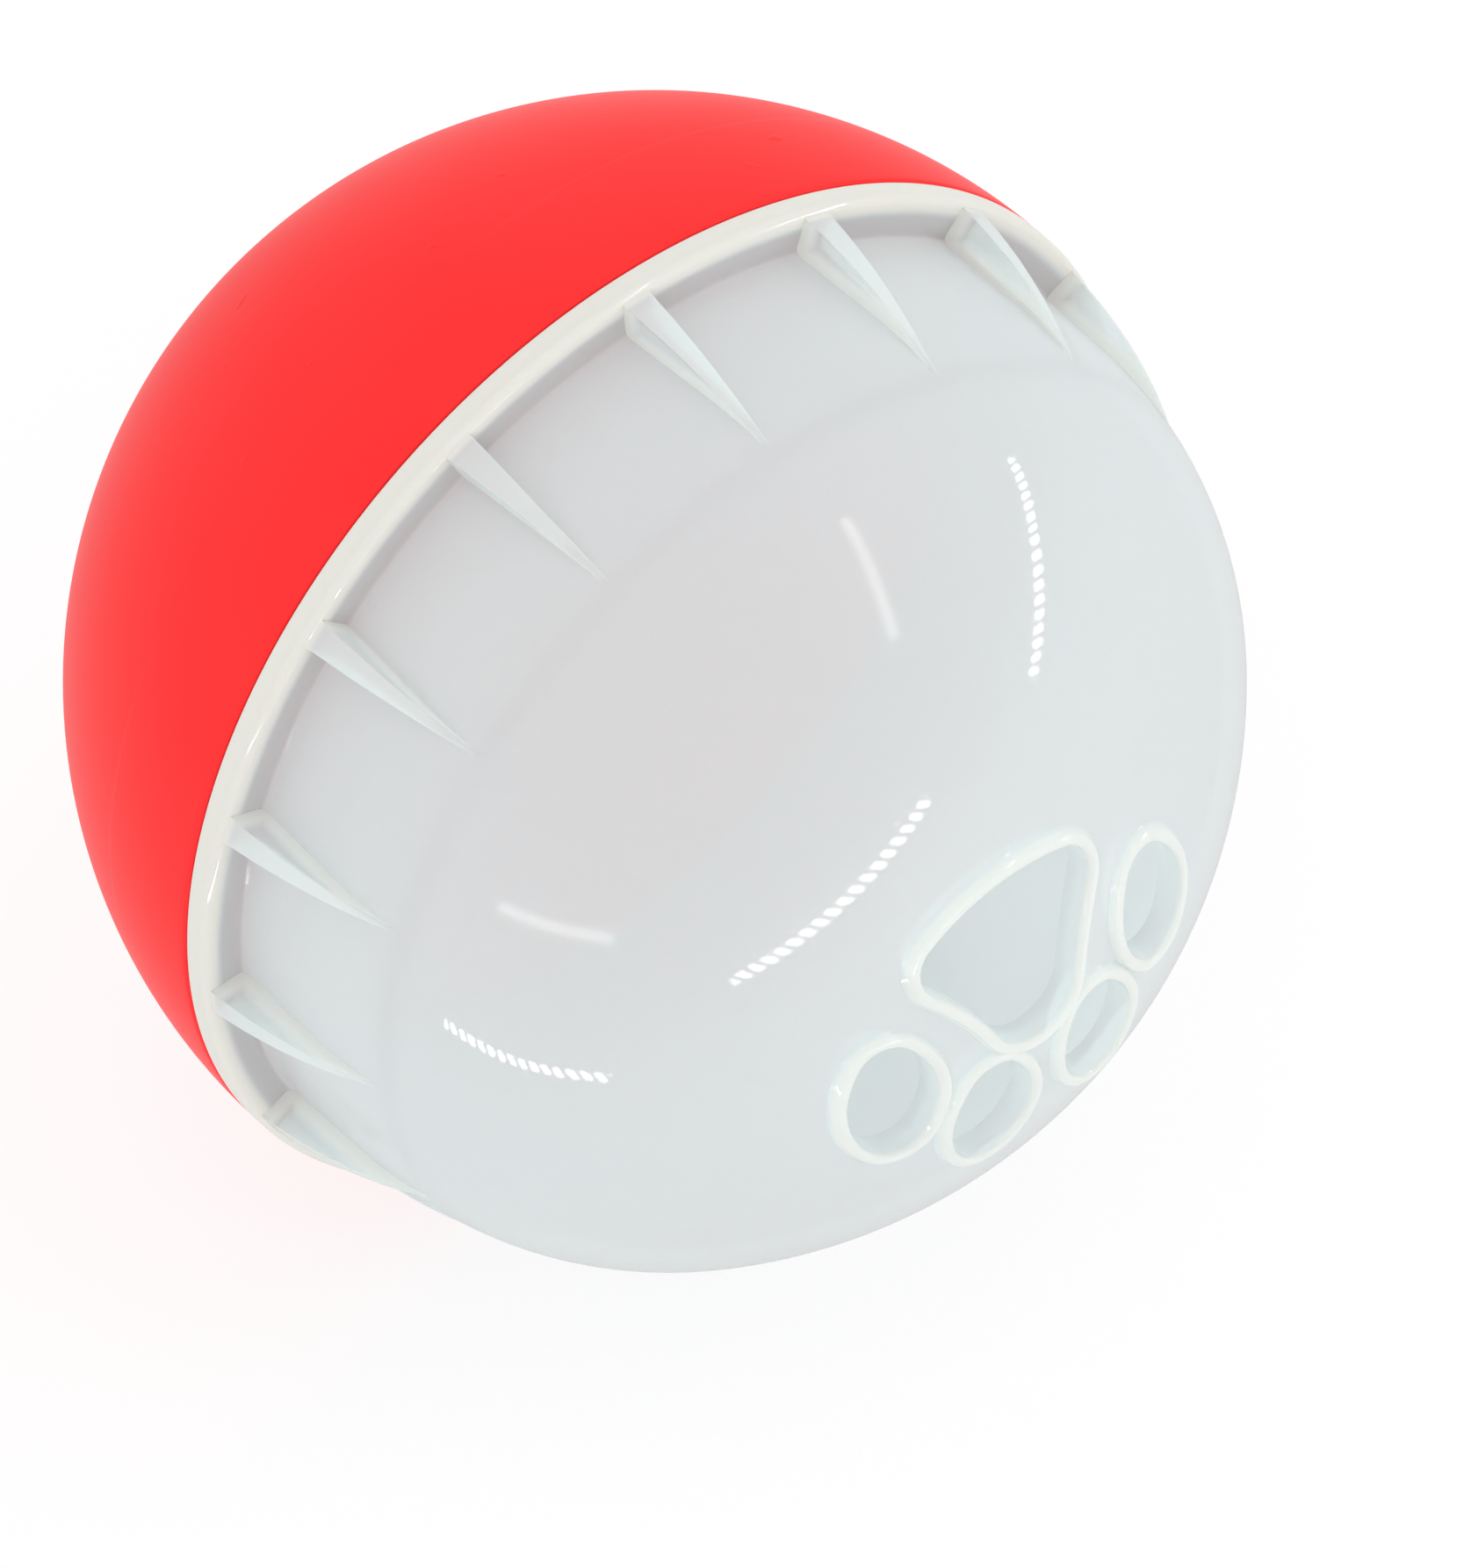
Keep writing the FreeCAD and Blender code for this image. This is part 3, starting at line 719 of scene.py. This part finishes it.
# ---------------------------------------------------------------- the red half
@dataclass
class RedShell:
    """The opaque half: a dome with a wider socket, lock hooks and stops behind its rim."""

    ball: BallSizes
    finish: RedPlastic
    wall: float = 1.8 * MM
    seam_gap: float = 0.1 * MM
    seam_edge: float = 0.25 * MM
    socket_depth: float = 9.3 * MM
    socket_edge: float = 0.2 * MM
    block_bite: float = 0.4 * MM
    hook_low: float = 4.4 * MM
    hook_high: float = 6.6 * MM
    hook_tip_gap: float = 0.15 * MM
    hook_turn: float = 84.7
    hook_spread: float = 26.0
    hook_edge: float = 0.15 * MM
    stop_turn: float = 96.2
    stop_spread: float = 3.0
    stop_edge: float = 0.1 * MM

    def build(self) -> bpy.types.Object:
        """Models the half and dresses it.

        Returns:
            The half's object.
        """
        piece = self.dome()
        tip = self.ball.spigot_radius + self.hook_tip_gap
        root = self.ball.socket_radius + self.block_bite
        hooks = block_about_axis("hooks", tip, root, self.hook_low, self.hook_high,
                                 self.hook_turn, self.hook_spread, self.ball.lock_count,
                                 self.hook_edge)
        # The stops keep clear of the planes of the hooks' faces, for a clean union.
        stops = block_about_axis("stops", tip + 0.02 * MM, root + 0.05 * MM,
                                 self.hook_low + 0.05 * MM, self.socket_depth + 0.3 * MM,
                                 self.stop_turn, self.stop_spread, self.ball.lock_count,
                                 self.stop_edge)
        merge(piece, [hooks, stops], Tooling.ADD)
        finish_surface(piece, 32.0, self.finish.material())
        return piece

    def dome(self) -> bpy.types.Object:
        """Turns the dome with its socket.

        Returns:
            The dome's object.
        """
        ball, rim = self.ball, self.seam_gap
        shoulder = (ball.on_sphere(self.socket_depth, self.wall), self.socket_depth)
        shape = TurnedProfile("red_dome", 0.0, ball.radius)
        shape.arc_to((0.0, 0.0), (ball.on_sphere(rim), rim), 80)
        shape.line_to(ball.socket_radius, rim)
        shape.line_to(ball.socket_radius, self.socket_depth)
        shape.line_to(*shoulder)
        shape.arc_to((0.0, 0.0), (0.0, ball.radius - self.wall), 56)
        shape.turned(ball.steps)
        shape.take_circle(ball.on_sphere(rim), rim)
        shape.round_off(self.seam_edge, 4)
        shape.take_circle(ball.socket_radius, rim)
        shape.round_off(self.socket_edge, 2)
        shape.weld()
        return shape.done()


# ---------------------------------------------------------------- the paw's outlines
@dataclass(frozen=True)
class Bow:
    """One arc of an outline, in the plane across the ball's axis."""

    centre: Point
    start: Point
    sweep: float

    @property
    def radius(self) -> float:
        """The arc's radius."""
        return math.dist(self.centre, self.start)

    def grown(self, grow: float) -> Bow:
        """The same arc on an outline that lies further out.

        Args:
            grow: how far out.

        Returns:
            The arc, wider if it bows out and tighter if it bows in.
        """
        share = 1 + math.copysign(grow, self.sweep) / self.radius
        start = tuple(c + (s - c) * share for c, s in zip(self.centre, self.start))
        return Bow(self.centre, start, self.sweep)


def bow(centre: Point, start: Point, end: Point, bows_out: bool = True) -> Bow:
    """An arc between two points.

    Args:
        centre: the arc's centre.
        start: where it starts.
        end: where it ends.
        bows_out: True if it runs from +X to +Z about its centre.

    Returns:
        The arc.
    """
    first = math.atan2(start[1] - centre[1], start[0] - centre[0])
    last = math.atan2(end[1] - centre[1], end[0] - centre[0])
    sweep = math.degrees(last - first) % 360.0
    return Bow(centre, start, sweep if bows_out else sweep - 360.0)


def beyond(start: Point, through: Point, reach: float) -> Point:
    """The point at a given reach from start, on the way through another point."""
    share = reach / math.dist(start, through)
    return (start[0] + (through[0] - start[0]) * share,
            start[1] + (through[1] - start[1]) * share)


def meeting_point(first: Point, first_reach: float, second: Point,
                  second_reach: float) -> Point:
    """The point at the given reaches from two others, right of the way from first to second.

    Args:
        first: one point.
        first_reach: how far from it the wanted point lies.
        second: the other point.
        second_reach: how far from it the wanted point lies.

    Returns:
        The wanted point.
    """
    run = (second[0] - first[0], second[1] - first[1])
    span = math.hypot(*run)
    along = (first_reach**2 - second_reach**2 + span**2) / (2 * span)
    aside = math.sqrt(first_reach**2 - along**2)
    return (first[0] + (run[0] * along + run[1] * aside) / span,
            first[1] + (run[1] * along - run[0] * aside) / span)


@dataclass(frozen=True)
class PadOutline:
    """The paw's pad: a rounded triangle with a bowed base, hollow flanks and its apex down."""

    base_radius: float = 12.6 * MM
    corner: Point = (4.5 * MM, 9.2 * MM)
    corner_radius: float = 2.3 * MM
    apex_up: float = 2.2 * MM
    apex_radius: float = 3.2 * MM
    flank_radius: float = 22.0 * MM

    def bows(self) -> list[Bow]:
        """Works out the outline.

        Returns:
            Its arcs, in order.
        """
        across, up = self.corner
        tip = (0.0, self.apex_up)
        base_middle = (0.0, up - math.sqrt((self.base_radius - self.corner_radius)**2 - across**2))
        base_end = beyond(base_middle, self.corner, self.base_radius)
        flank = meeting_point(tip, self.apex_radius + self.flank_radius, self.corner,
                              self.corner_radius + self.flank_radius)
        corner_end = beyond(flank, self.corner, self.flank_radius)
        apex_end = beyond(flank, tip, self.flank_radius)

        def other(point: Point) -> Point:
            """The same point on the other side."""
            return -point[0], point[1]

        return [
            bow(base_middle, base_end, other(base_end)),
            bow(other(self.corner), other(base_end), other(corner_end)),
            bow(other(flank), other(corner_end), other(apex_end), False),
            bow(tip, other(apex_end), apex_end),
            bow(flank, apex_end, corner_end, False),
            bow(self.corner, corner_end, base_end),
        ]


@dataclass(frozen=True)
class ToeOutline:
    """One toe: an oval of four arcs whose tip leans outwards."""

    across: float
    down: float
    lean: float
    half_width: float = 3.0 * MM
    half_length: float = 5.3 * MM
    end_radius: float = 1.9 * MM

    def other(self) -> ToeOutline:
        """The same toe on the paw's other side."""
        return replace(self, across=-self.across, lean=-self.lean)

    def bows(self) -> list[Bow]:
        """Works out the outline.

        Returns:
            Its arcs, in order.
        """
        arm = self.half_length - self.end_radius
        flank = ((self.half_width**2 + arm**2 - self.end_radius**2)
                 / (2 * (self.half_width - self.end_radius)))
        way = (arm * math.sin(math.radians(self.lean)), -arm * math.cos(math.radians(self.lean)))
        tip = (self.across + way[0], -self.down + way[1])
        heel = (self.across - way[0], -self.down - way[1])
        reach = flank - self.end_radius
        right = meeting_point(tip, reach, heel, reach)
        left = meeting_point(heel, reach, tip, reach)
        corners = [beyond(left, tip, flank), beyond(left, heel, flank),
                   beyond(right, heel, flank), beyond(right, tip, flank)]
        return [
            bow(left, corners[0], corners[1]),
            bow(heel, corners[1], corners[2]),
            bow(right, corners[2], corners[3]),
            bow(tip, corners[3], corners[0]),
        ]


@dataclass(frozen=True)
class CollarSection:
    """The section of a collar, as pairs of how far out and how high over the ball."""

    points: tuple[Point, ...] = (
        (1.30 * MM, -0.35 * MM), (1.04 * MM, 0.02 * MM), (0.93 * MM, 0.15 * MM),
        (0.87 * MM, 0.30 * MM), (0.81 * MM, 0.44 * MM), (0.69 * MM, 0.55 * MM),
        (0.53 * MM, 0.60 * MM), (0.34 * MM, 0.60 * MM), (0.18 * MM, 0.55 * MM),
        (0.06 * MM, 0.44 * MM), (0.0, 0.28 * MM))
    inner_foot: float = -1.60 * MM
    outer_foot: float = -1.28 * MM
    cut: float = 0.30 * MM


# ---------------------------------------------------------------- the milky half
@dataclass
class ClearShell:
    """The milky half: dome, ring, ribbed recess, spigot with lugs, and a paw of openings."""

    ball: BallSizes
    finish: MilkyPlastic
    wall: float = 1.5 * MM
    ring_height: float = 1.95 * MM
    ring_edge: float = 0.6 * MM
    recess_depth: float = 3.0 * MM
    floor_taper: float = 1.0
    floor_root: float = 0.5 * MM
    blend: float = 25.0 * MM
    seam_edge: float = 0.25 * MM
    spigot_wall: float = 1.5 * MM
    spigot_length: float = 9.0 * MM
    spigot_edge: float = 0.4 * MM
    rib_count: int = 16
    rib_turn: float = 4.7
    rib_width: float = 2.2 * MM
    rib_tip_width: float = 0.3 * MM
    rib_reach: float = 15.0 * MM
    rib_parallel: float = 1.3 * MM
    rib_inset: float = 0.22 * MM
    rib_crest_shift: float = 1.6 * MM
    rib_edge: float = 0.35 * MM
    lug_low: float = 6.7 * MM
    lug_high: float = 8.5 * MM
    lug_rise: float = 0.75 * MM
    lug_spread: float = 18.0
    lug_edge: float = 0.15 * MM
    paw_turn: float = 11.2
    outer_toe: ToeOutline = ToeOutline(10.75 * MM, -0.5 * MM, 2.0)
    inner_toe: ToeOutline = ToeOutline(4.4 * MM, 6.1 * MM, 4.0)
    outline_step: float = 0.34 * MM
    cutter_rise: float = 2 * MM
    cutter_length: float = 14 * MM
    collar: CollarSection = CollarSection()

    def build(self) -> bpy.types.Object:
        """Models the half and dresses it.

        Returns:
            The half's object.
        """
        piece = self.dome()
        outlines = (PadOutline(), self.outer_toe.other(), self.outer_toe,
                    self.inner_toe.other(), self.inner_toe)
        merge(piece, [self.cutter(outline) for outline in outlines], Tooling.CUT)
        merge(piece, [self.collar_ring(outline) for outline in outlines], Tooling.ADD)
        merge(piece, [self.ribs(), self.lugs()], Tooling.ADD)
        finish_surface(piece, 38.0, self.finish.material())
        return piece

    def blend_points(self, corner: Point, sphere: float, radius: float) -> tuple[Point, ...]:
        """Where a blend lies between the tapered wall and the dome.

        Args:
            corner: the wall's upper end.
            sphere: the dome's radius.
            radius: the blend's radius.

        Returns:
            The blend's centre, its point on the wall and its point on the dome.
        """
        lean = math.radians(self.floor_taper)
        down = (-math.sin(lean), -math.cos(lean))
        inward = (-math.cos(lean), math.sin(lean))
        foot = (corner[0] + inward[0] * radius, corner[1] + inward[1] * radius)
        along = foot[0] * down[0] + foot[1] * down[1]
        reach = -along + math.sqrt(along**2 - foot[0]**2 - foot[1]**2 + (sphere - radius)**2)
        centre = (foot[0] + down[0] * reach, foot[1] + down[1] * reach)
        share = sphere / (sphere - radius)
        return (centre, (corner[0] + down[0] * reach, corner[1] + down[1] * reach),
                (centre[0] * share, centre[1] * share))

    def dome(self) -> bpy.types.Object:
        """Turns the dome with its recess floor, ring and spigot.

        Returns:
            The dome's object.
        """
        ball = self.ball
        floor_radius = ball.radius - self.recess_depth
        bore = ball.spigot_radius - self.spigot_wall
        root = (floor_radius, -self.ring_height)
        ring_corner = (ball.on_sphere(self.ring_height), -self.ring_height)
        middle, on_floor, on_dome = self.blend_points(root, ball.radius, self.blend)
        inside = ball.radius - self.wall
        inner_middle, on_bore, on_inside = self.blend_points(
            (bore, 0.0), inside, self.blend - self.wall)

        shape = TurnedProfile("clear_dome", 0.0, -ball.radius)
        shape.arc_to((0.0, 0.0), on_dome, 72)
        shape.arc_to(middle, on_floor, 16)
        for share in (0.25, 0.5, 0.75, 1.0):
            shape.line_to(on_floor[0] + (root[0] - on_floor[0]) * share,
                          on_floor[1] + (root[1] - on_floor[1]) * share)
        shape.line_to(*ring_corner)
        shape.arc_to((0.0, 0.0), (ball.radius, 0.0), 3)
        shape.line_to(ball.spigot_radius, 0.0)
        shape.line_to(ball.spigot_radius, self.spigot_length)
        shape.line_to(bore, self.spigot_length)
        shape.line_to(bore, 0.0)
        shape.line_to(*on_bore)
        shape.arc_to(inner_middle, on_inside, 12)
        shape.arc_to((0.0, 0.0), (0.0, -inside), 56)
        shape.turned(ball.steps)
        for radius, height, width, segments in (
                (*ring_corner, self.ring_edge, 5), (*root, self.floor_root, 4),
                (ball.radius, 0.0, self.seam_edge, 3),
                (ball.spigot_radius, self.spigot_length, self.spigot_edge, 3),
                (bore, self.spigot_length, self.spigot_edge, 3)):
            shape.take_circle(radius, height)
            shape.round_off(width, segments)
        shape.weld()
        return shape.done()

    def ribs(self) -> bpy.types.Object:
        """Models the blades across the recess, whose crests keep to the ball's curve.

        Returns:
            The ribs as one object.
        """
        ball = self.ball
        crest, shift = ball.radius - self.rib_inset, self.rib_crest_shift
        top, low = -self.ring_height / 2, -self.rib_reach

        def on_crest(height: float) -> float:
            """The crest's reach from the axis at a height."""
            return math.sqrt(crest**2 - (height - shift)**2)

        root = ball.radius - self.recess_depth - self.wall / 2
        tip = ball.on_sphere(self.rib_reach) - self.wall
        blade = TurnedProfile("ribs", root, top)
        blade.line_to(on_crest(top), top)
        blade.arc_to((0.0, shift), (on_crest(low), low), 28)
        blade.line_to(tip, low)
        blade.line_to(root, top)
        blade.take()
        bpy.ops.mesh.remove_doubles(threshold=WELD)
        blade.take()
        bpy.ops.mesh.edge_face_add()
        blade.move(z=-self.rib_width / 2)
        blade.push(z=self.rib_width)
        mesh = bmesh.from_edit_mesh(blade.piece.data)
        narrowing = (self.rib_width - self.rib_tip_width) / (top - low)
        for vertex in mesh.verts:
            run = top - vertex.co.y
            if run > self.rib_parallel:
                vertex.co.z *= 1.0 - run * narrowing / self.rib_width
        mesh.normal_update()
        bmesh.update_edit_mesh(blade.piece.data)
        blade.weld()
        blade.take_edges(lambda item: len(item.link_faces) == 2
                         and item.calc_face_angle() > math.radians(70)
                         and all(abs(math.hypot(v.co.x, v.co.y - shift) - crest) < 5e-6
                                 for v in item.verts)
                         and abs(item.verts[0].co.y - item.verts[1].co.y) > 0.1 * MM)
        blade.round_off(self.rib_edge, 4)
        blade.weld()
        blade.take()
        blade.turn(self.rib_turn)
        blade.swing(360.0 * (self.rib_count - 1) / self.rib_count, self.rib_count - 1,
                    (0.0, 0.0, 0.0), (0.0, 1.0, 0.0), copies=True)
        return blade.done()

    def lugs(self) -> bpy.types.Object:
        """The lock lugs on the spigot."""
        ball = self.ball
        return block_about_axis("lugs", ball.spigot_radius - self.spigot_wall / 2,
                                ball.spigot_radius + self.lug_rise, self.lug_low,
                                self.lug_high, ball.lock_turn, self.lug_spread,
                                ball.lock_count, self.lug_edge)

    def outline_face(self, name: str, outline: PadOutline | ToeOutline, grow: float,
                     height: float) -> Bench:
        """A flat face on one of the paw's outlines, selected on its bench.

        Args:
            name: the mesh's name.
            outline: the outline.
            grow: how far out from the opening it lies.
            height: how far from the middle of the ball it lies.

        Returns:
            The bench, with the face looking to -Y.
        """
        bows = [item.grown(grow) for item in outline.bows()]
        bench = Bench(name, bows[0].start[0], -height, bows[0].start[1])
        for item in bows:
            run = abs(math.radians(item.sweep)) * item.radius
            steps = max(3, round(run / self.outline_step))
            bench.swing(item.sweep, steps, (item.centre[0], -height, item.centre[1]),
                        (0.0, 1.0, 0.0))
        bench.take()
        bpy.ops.mesh.remove_doubles(threshold=5e-6)
        bench.take()
        bpy.ops.mesh.edge_face_add()
        mesh = bmesh.from_edit_mesh(bench.piece.data)
        mesh.faces.ensure_lookup_table()
        mesh.normal_update()
        if mesh.faces[0].normal.y > 0:
            bpy.ops.mesh.flip_normals()
        bpy.ops.mesh.select_mode(type="FACE")
        return bench

    def cutter(self, outline: PadOutline | ToeOutline) -> bpy.types.Object:
        """Models the straight prism that cuts one opening through the dome.

        Args:
            outline: the opening's outline.

        Returns:
            The prism.
        """
        bench = self.outline_face("cutter", outline, self.collar.cut,
                                  self.ball.radius + self.cutter_rise)
        bench.push(y=self.cutter_length)
        bench.weld()
        bench.take()
        bench.turn(self.paw_turn)
        return bench.done()

    def collar_ring(self, outline: PadOutline | ToeOutline) -> bpy.types.Object:
        """Models a rounded collar round one opening, drawn flat and then laid on the ball.

        Args:
            outline: the opening's outline.

        Returns:
            The collar.
        """
        points, ball = self.collar.points, self.ball
        outer, first = points[0]
        bench = self.outline_face("collar", outline, outer, ball.radius + first)
        for (out, high), (next_out, next_high) in zip(points, points[1:]):
            bpy.ops.mesh.inset(thickness=out - next_out, depth=next_high - high,
                               use_even_offset=True)
        bench.push(y=points[-1][1] - self.collar.inner_foot)
        bpy.ops.mesh.delete(type="ONLY_FACE")
        rim = -(ball.radius + first)
        bench.take_edges(lambda item: item.is_boundary
                         and all(abs(v.co.y - rim) < 1e-6 for v in item.verts))
        bench.push(y=first - self.collar.outer_foot)
        bench.take_edges(lambda item: item.is_boundary)
        bpy.ops.mesh.bridge_edge_loops()
        bench.weld()
        self.lay_on_ball(bench)
        bench.take()
        bench.turn(self.paw_turn)
        return bench.done()

    def lay_on_ball(self, bench: Bench) -> None:
        """Bends a flat form onto the ball: what stood over the plane stands over the sphere.

        Args:
            bench: the form, whose plane lies at the ball's pole.
        """
        mesh = bmesh.from_edit_mesh(bench.piece.data)
        for vertex in mesh.verts:
            across = vertex.co.x**2 + vertex.co.z**2
            vertex.co.y = -math.sqrt(vertex.co.y**2 - across)
        bmesh.update_edit_mesh(bench.piece.data)


# ---------------------------------------------------------------- the studio
def place_lamp(name: str, place: Vector, way: Vector, along: Vector, size: tuple[float, float],
               power: float) -> bpy.types.Object:
    """Puts a flat lamp in the scene, out of the camera's sight.

    Args:
        name: the lamp's name.
        place: its middle.
        way: where it shines.
        along: where its length runs.
        size: its length and width.
        power: its power in watts.

    Returns:
        The lamp's object.
    """
    data = bpy.data.lights.new(name, "AREA")
    data.shape = "RECTANGLE"
    data.size, data.size_y = size
    data.energy = power
    made = bpy.data.objects.new(name, data)
    bpy.context.scene.collection.objects.link(made)
    back = -way.normalized()
    side = (along - back * along.dot(back)).normalized()
    turn = Matrix((side, back.cross(side), back)).transposed()
    made.matrix_world = Matrix.Translation(place) @ turn.to_4x4()
    made.visible_camera = False
    return made


@dataclass(frozen=True)
class Panel:
    """One large soft lamp that lights the ball without a reflection of its own."""

    name: str
    place: Way
    side: float
    power: float

    def build(self, middle: Vector) -> None:
        """Puts the panel in the scene.

        Args:
            middle: the point that it faces.
        """
        way = middle - Vector(self.place)
        made = place_lamp(self.name, Vector(self.place), way, way.orthogonal(),
                          (self.side, self.side), self.power)
        made.visible_glossy = False


class Edge(Enum):
    """How the edge of a strip lamp fades: the share of its width over which it does."""

    CRISP = 0.25
    SOFT = 1.0


@dataclass(frozen=True)
class Strip:
    """A row of small bulbs between two points, which only shows as a glint."""

    name: str
    start: Way
    end: Way
    width: float
    radiance: float
    bulbs: int
    gaps: float
    edge: Edge = Edge.CRISP
    slant: float = 0.6

    def build(self, middle: Vector) -> None:
        """Puts the strip in the scene.

        Args:
            middle: the point that it faces.
        """
        start, end = Vector(self.start) * MM, Vector(self.end) * MM
        place, along = (start + end) / 2, end - start
        width = self.width * MM
        made = place_lamp(self.name, place, middle - place, along, (along.length, width),
                          self.radiance * math.pi * along.length * width)
        made.visible_diffuse = False
        made.data.use_nodes = True
        book = NodeBook(made.data.node_tree)
        where = book.node("ShaderNodeNewGeometry").outputs["Parametric"]
        length, across = book.axis(where, "X"), book.axis(where, "Y")
        rim = ((across - 0.5).size() * 2.0).step(1.0, 1.0 - self.edge.value)
        tip = ((length - 0.5).size() * 2.0).step(1.0, 0.95)
        wave = (length * self.bulbs + across * self.slant).past_whole() - 0.5
        bulb = (wave.size() * 2.0).step(0.66, 0.40)
        shine = rim * tip * (bulb * self.gaps + (1.0 - self.gaps))
        book.node("ShaderNodeOutputLight", None,
                  [book.shader("ShaderNodeEmission", {"Strength": shine})])


@dataclass(frozen=True)
class PhotoView:
    """The camera, at the photograph's viewing angle."""

    azimuth: float = -39.1
    elevation: float = 45.7
    distance: float = 20.0
    frame: tuple[int, int] = (1675, 1786)
    middle: Point = (745.9, 776.9)
    pixels_per_radius: float = 673.3

    def back(self) -> Vector:
        """The direction from the ball to the camera."""
        side, rise = math.radians(self.azimuth), math.radians(self.elevation)
        return Vector((math.sin(side) * math.cos(rise), -math.cos(side) * math.cos(rise),
                       math.sin(rise)))

    def build(self, ball: BallSizes) -> bpy.types.Object:
        """Puts the camera in the scene.

        Args:
            ball: the ball's sizes.

        Returns:
            The camera's object.
        """
        scale = ball.radius / self.pixels_per_radius
        away = self.distance * ball.radius
        data = bpy.data.cameras.new("photo_view")
        data.sensor_width = 36.0
        data.lens = data.sensor_width * away / (max(self.frame) * scale)
        data.clip_start, data.clip_end = 0.01, 20.0
        made = bpy.data.objects.new("photo_view", data)
        bpy.context.scene.collection.objects.link(made)
        right = (self.frame[0] / 2 - self.middle[0]) * scale / away
        down = (self.frame[1] / 2 - self.middle[1]) * scale / away
        level = self.back().to_track_quat("Z", "Y")
        aim = Quaternion((0.0, 1.0, 0.0), -math.atan(right)) @ Quaternion(
            (1.0, 0.0, 0.0), -math.atan(down))
        made.rotation_mode = "QUATERNION"
        made.rotation_quaternion = level @ aim
        made.location = Vector((0.0, 0.0, ball.radius)) + self.back() * away
        bpy.context.scene.camera = made
        return made


@dataclass(frozen=True)
class Studio:
    """A plain pale floor, an even sky and soft lamps."""

    ball: BallSizes
    view: PhotoView
    floor_size: float = 6.0
    floor_colour: Tint = (0.93, 0.93, 0.93)
    floor_paper: float = 0.70
    seen_paper: float = 0.82
    sky_light: float = 0.99

    def build(self) -> None:
        """Puts floor, sky, lamps and camera in the scene."""
        self.floor()
        self.sky()
        for lamp in self.lamps():
            lamp.build(Vector((0.0, 0.0, self.ball.radius)))
        self.view.build(self.ball)
        bpy.context.scene.view_settings.view_transform = "Standard"

    def floor(self) -> None:
        """The floor, a lit paper that keeps a soft share of the ball's shadow."""
        bpy.ops.object.select_all(action="DESELECT")
        bpy.ops.mesh.primitive_plane_add(size=self.floor_size)
        made = bpy.context.object
        made.name = "floor"
        surface = bpy.data.materials.new("floor_paint")
        surface.use_nodes = True
        book = NodeBook(surface.node_tree)
        paint = book.shader("ShaderNodeBsdfDiffuse", {"Color": (*self.floor_colour, 1.0)})
        paper = book.shader("ShaderNodeEmission", {"Color": (1.0, 1.0, 1.0, 1.0)})
        seen = self.seen(book) * (self.seen_paper - self.floor_paper) + self.floor_paper
        book.node("ShaderNodeOutputMaterial", None, [book.blend(seen, paint, paper)])
        made.data.materials.append(surface)

    def seen(self, book: NodeBook) -> Value:
        """Tells what the camera sees, also mirrored or through glass, from what lights.

        Args:
            book: the node tree's builder.

        Returns:
            1 where the camera sees it, and otherwise 0.
        """
        path = book.node("ShaderNodeLightPath")
        rays = [Value(book, path.outputs[f"Is {kind} Ray"])
                for kind in ("Camera", "Glossy", "Transmission")]
        return rays[0].larger(rays[1]).larger(rays[2])

    def sky(self) -> None:
        """An even white sky, a little dimmer in the light that it casts than to the camera."""
        world = bpy.data.worlds.new("studio_sky")
        bpy.context.scene.world = world
        world.use_nodes = True
        book = NodeBook(world.node_tree)
        seen = self.seen(book)
        strength = seen * (1.0 - self.sky_light) + self.sky_light
        sky = book.shader("ShaderNodeBackground",
                          {"Color": (1.0, 1.0, 1.0, 1.0), "Strength": strength})
        book.node("ShaderNodeOutputWorld", None, [sky])

    def lamps(self) -> list[Panel | Strip]:
        """The soft lamps, and the strips whose reflections lie on the milky half."""
        return [
            Panel("top", (-0.15, -0.20, 0.80), 0.7, 0.7),
            Panel("front", (-0.50, -0.75, 0.16), 0.6, 2.3),
            Panel("right", (0.70, -0.50, 0.30), 0.6, 1.6),
            Strip("glint_right", (281.5, -68.8, 190.0), (203.5, -250.5, 107.6), 12.0, 60.0,
                  18, 1.0),
            Strip("glint_middle", (-84.1, -160.6, 9.7), (31.0, -176.5, 78.8), 6.6, 60.0,
                  18, 1.0),
            Strip("glint_left", (-77.6, -21.2, 16.4), (-56.3, -56.1, 10.5), 2.7, 60.0,
                  15, 1.0),
            Strip("haze_right", (110.7, -115.8, 331.6), (94.4, -253.3, 235.8), 26.0, 14.0,
                  14, 0.2, Edge.SOFT),
            Strip("haze_left", (-318.9, -98.0, 47.7), (-239.3, -233.5, 25.8), 26.0, 14.0,
                  14, 0.2, Edge.SOFT),
        ]


def main() -> None:
    """Builds the ball piece by piece and reports each."""
    logging.basicConfig(level=logging.INFO, format="%(name)s: %(message)s")
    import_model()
    ball = BallSizes()
    Studio(ball, PhotoView()).build()
    halves = (
        ("clear_half", "clear_shell", "milky_plastic", ClearShell(ball, MilkyPlastic())),
        ("red_half", "red_shell", "red_plastic", RedShell(ball, RedPlastic())),
    )
    for name, solid, slot, maker in halves:
        piece = maker.build()
        piece.name = piece.data.name = name
        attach(piece, name)
        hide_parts(solid)
        log.info("%s: %d faces", name, len(piece.data.polygons))


if __name__ == "__main__":
    main()
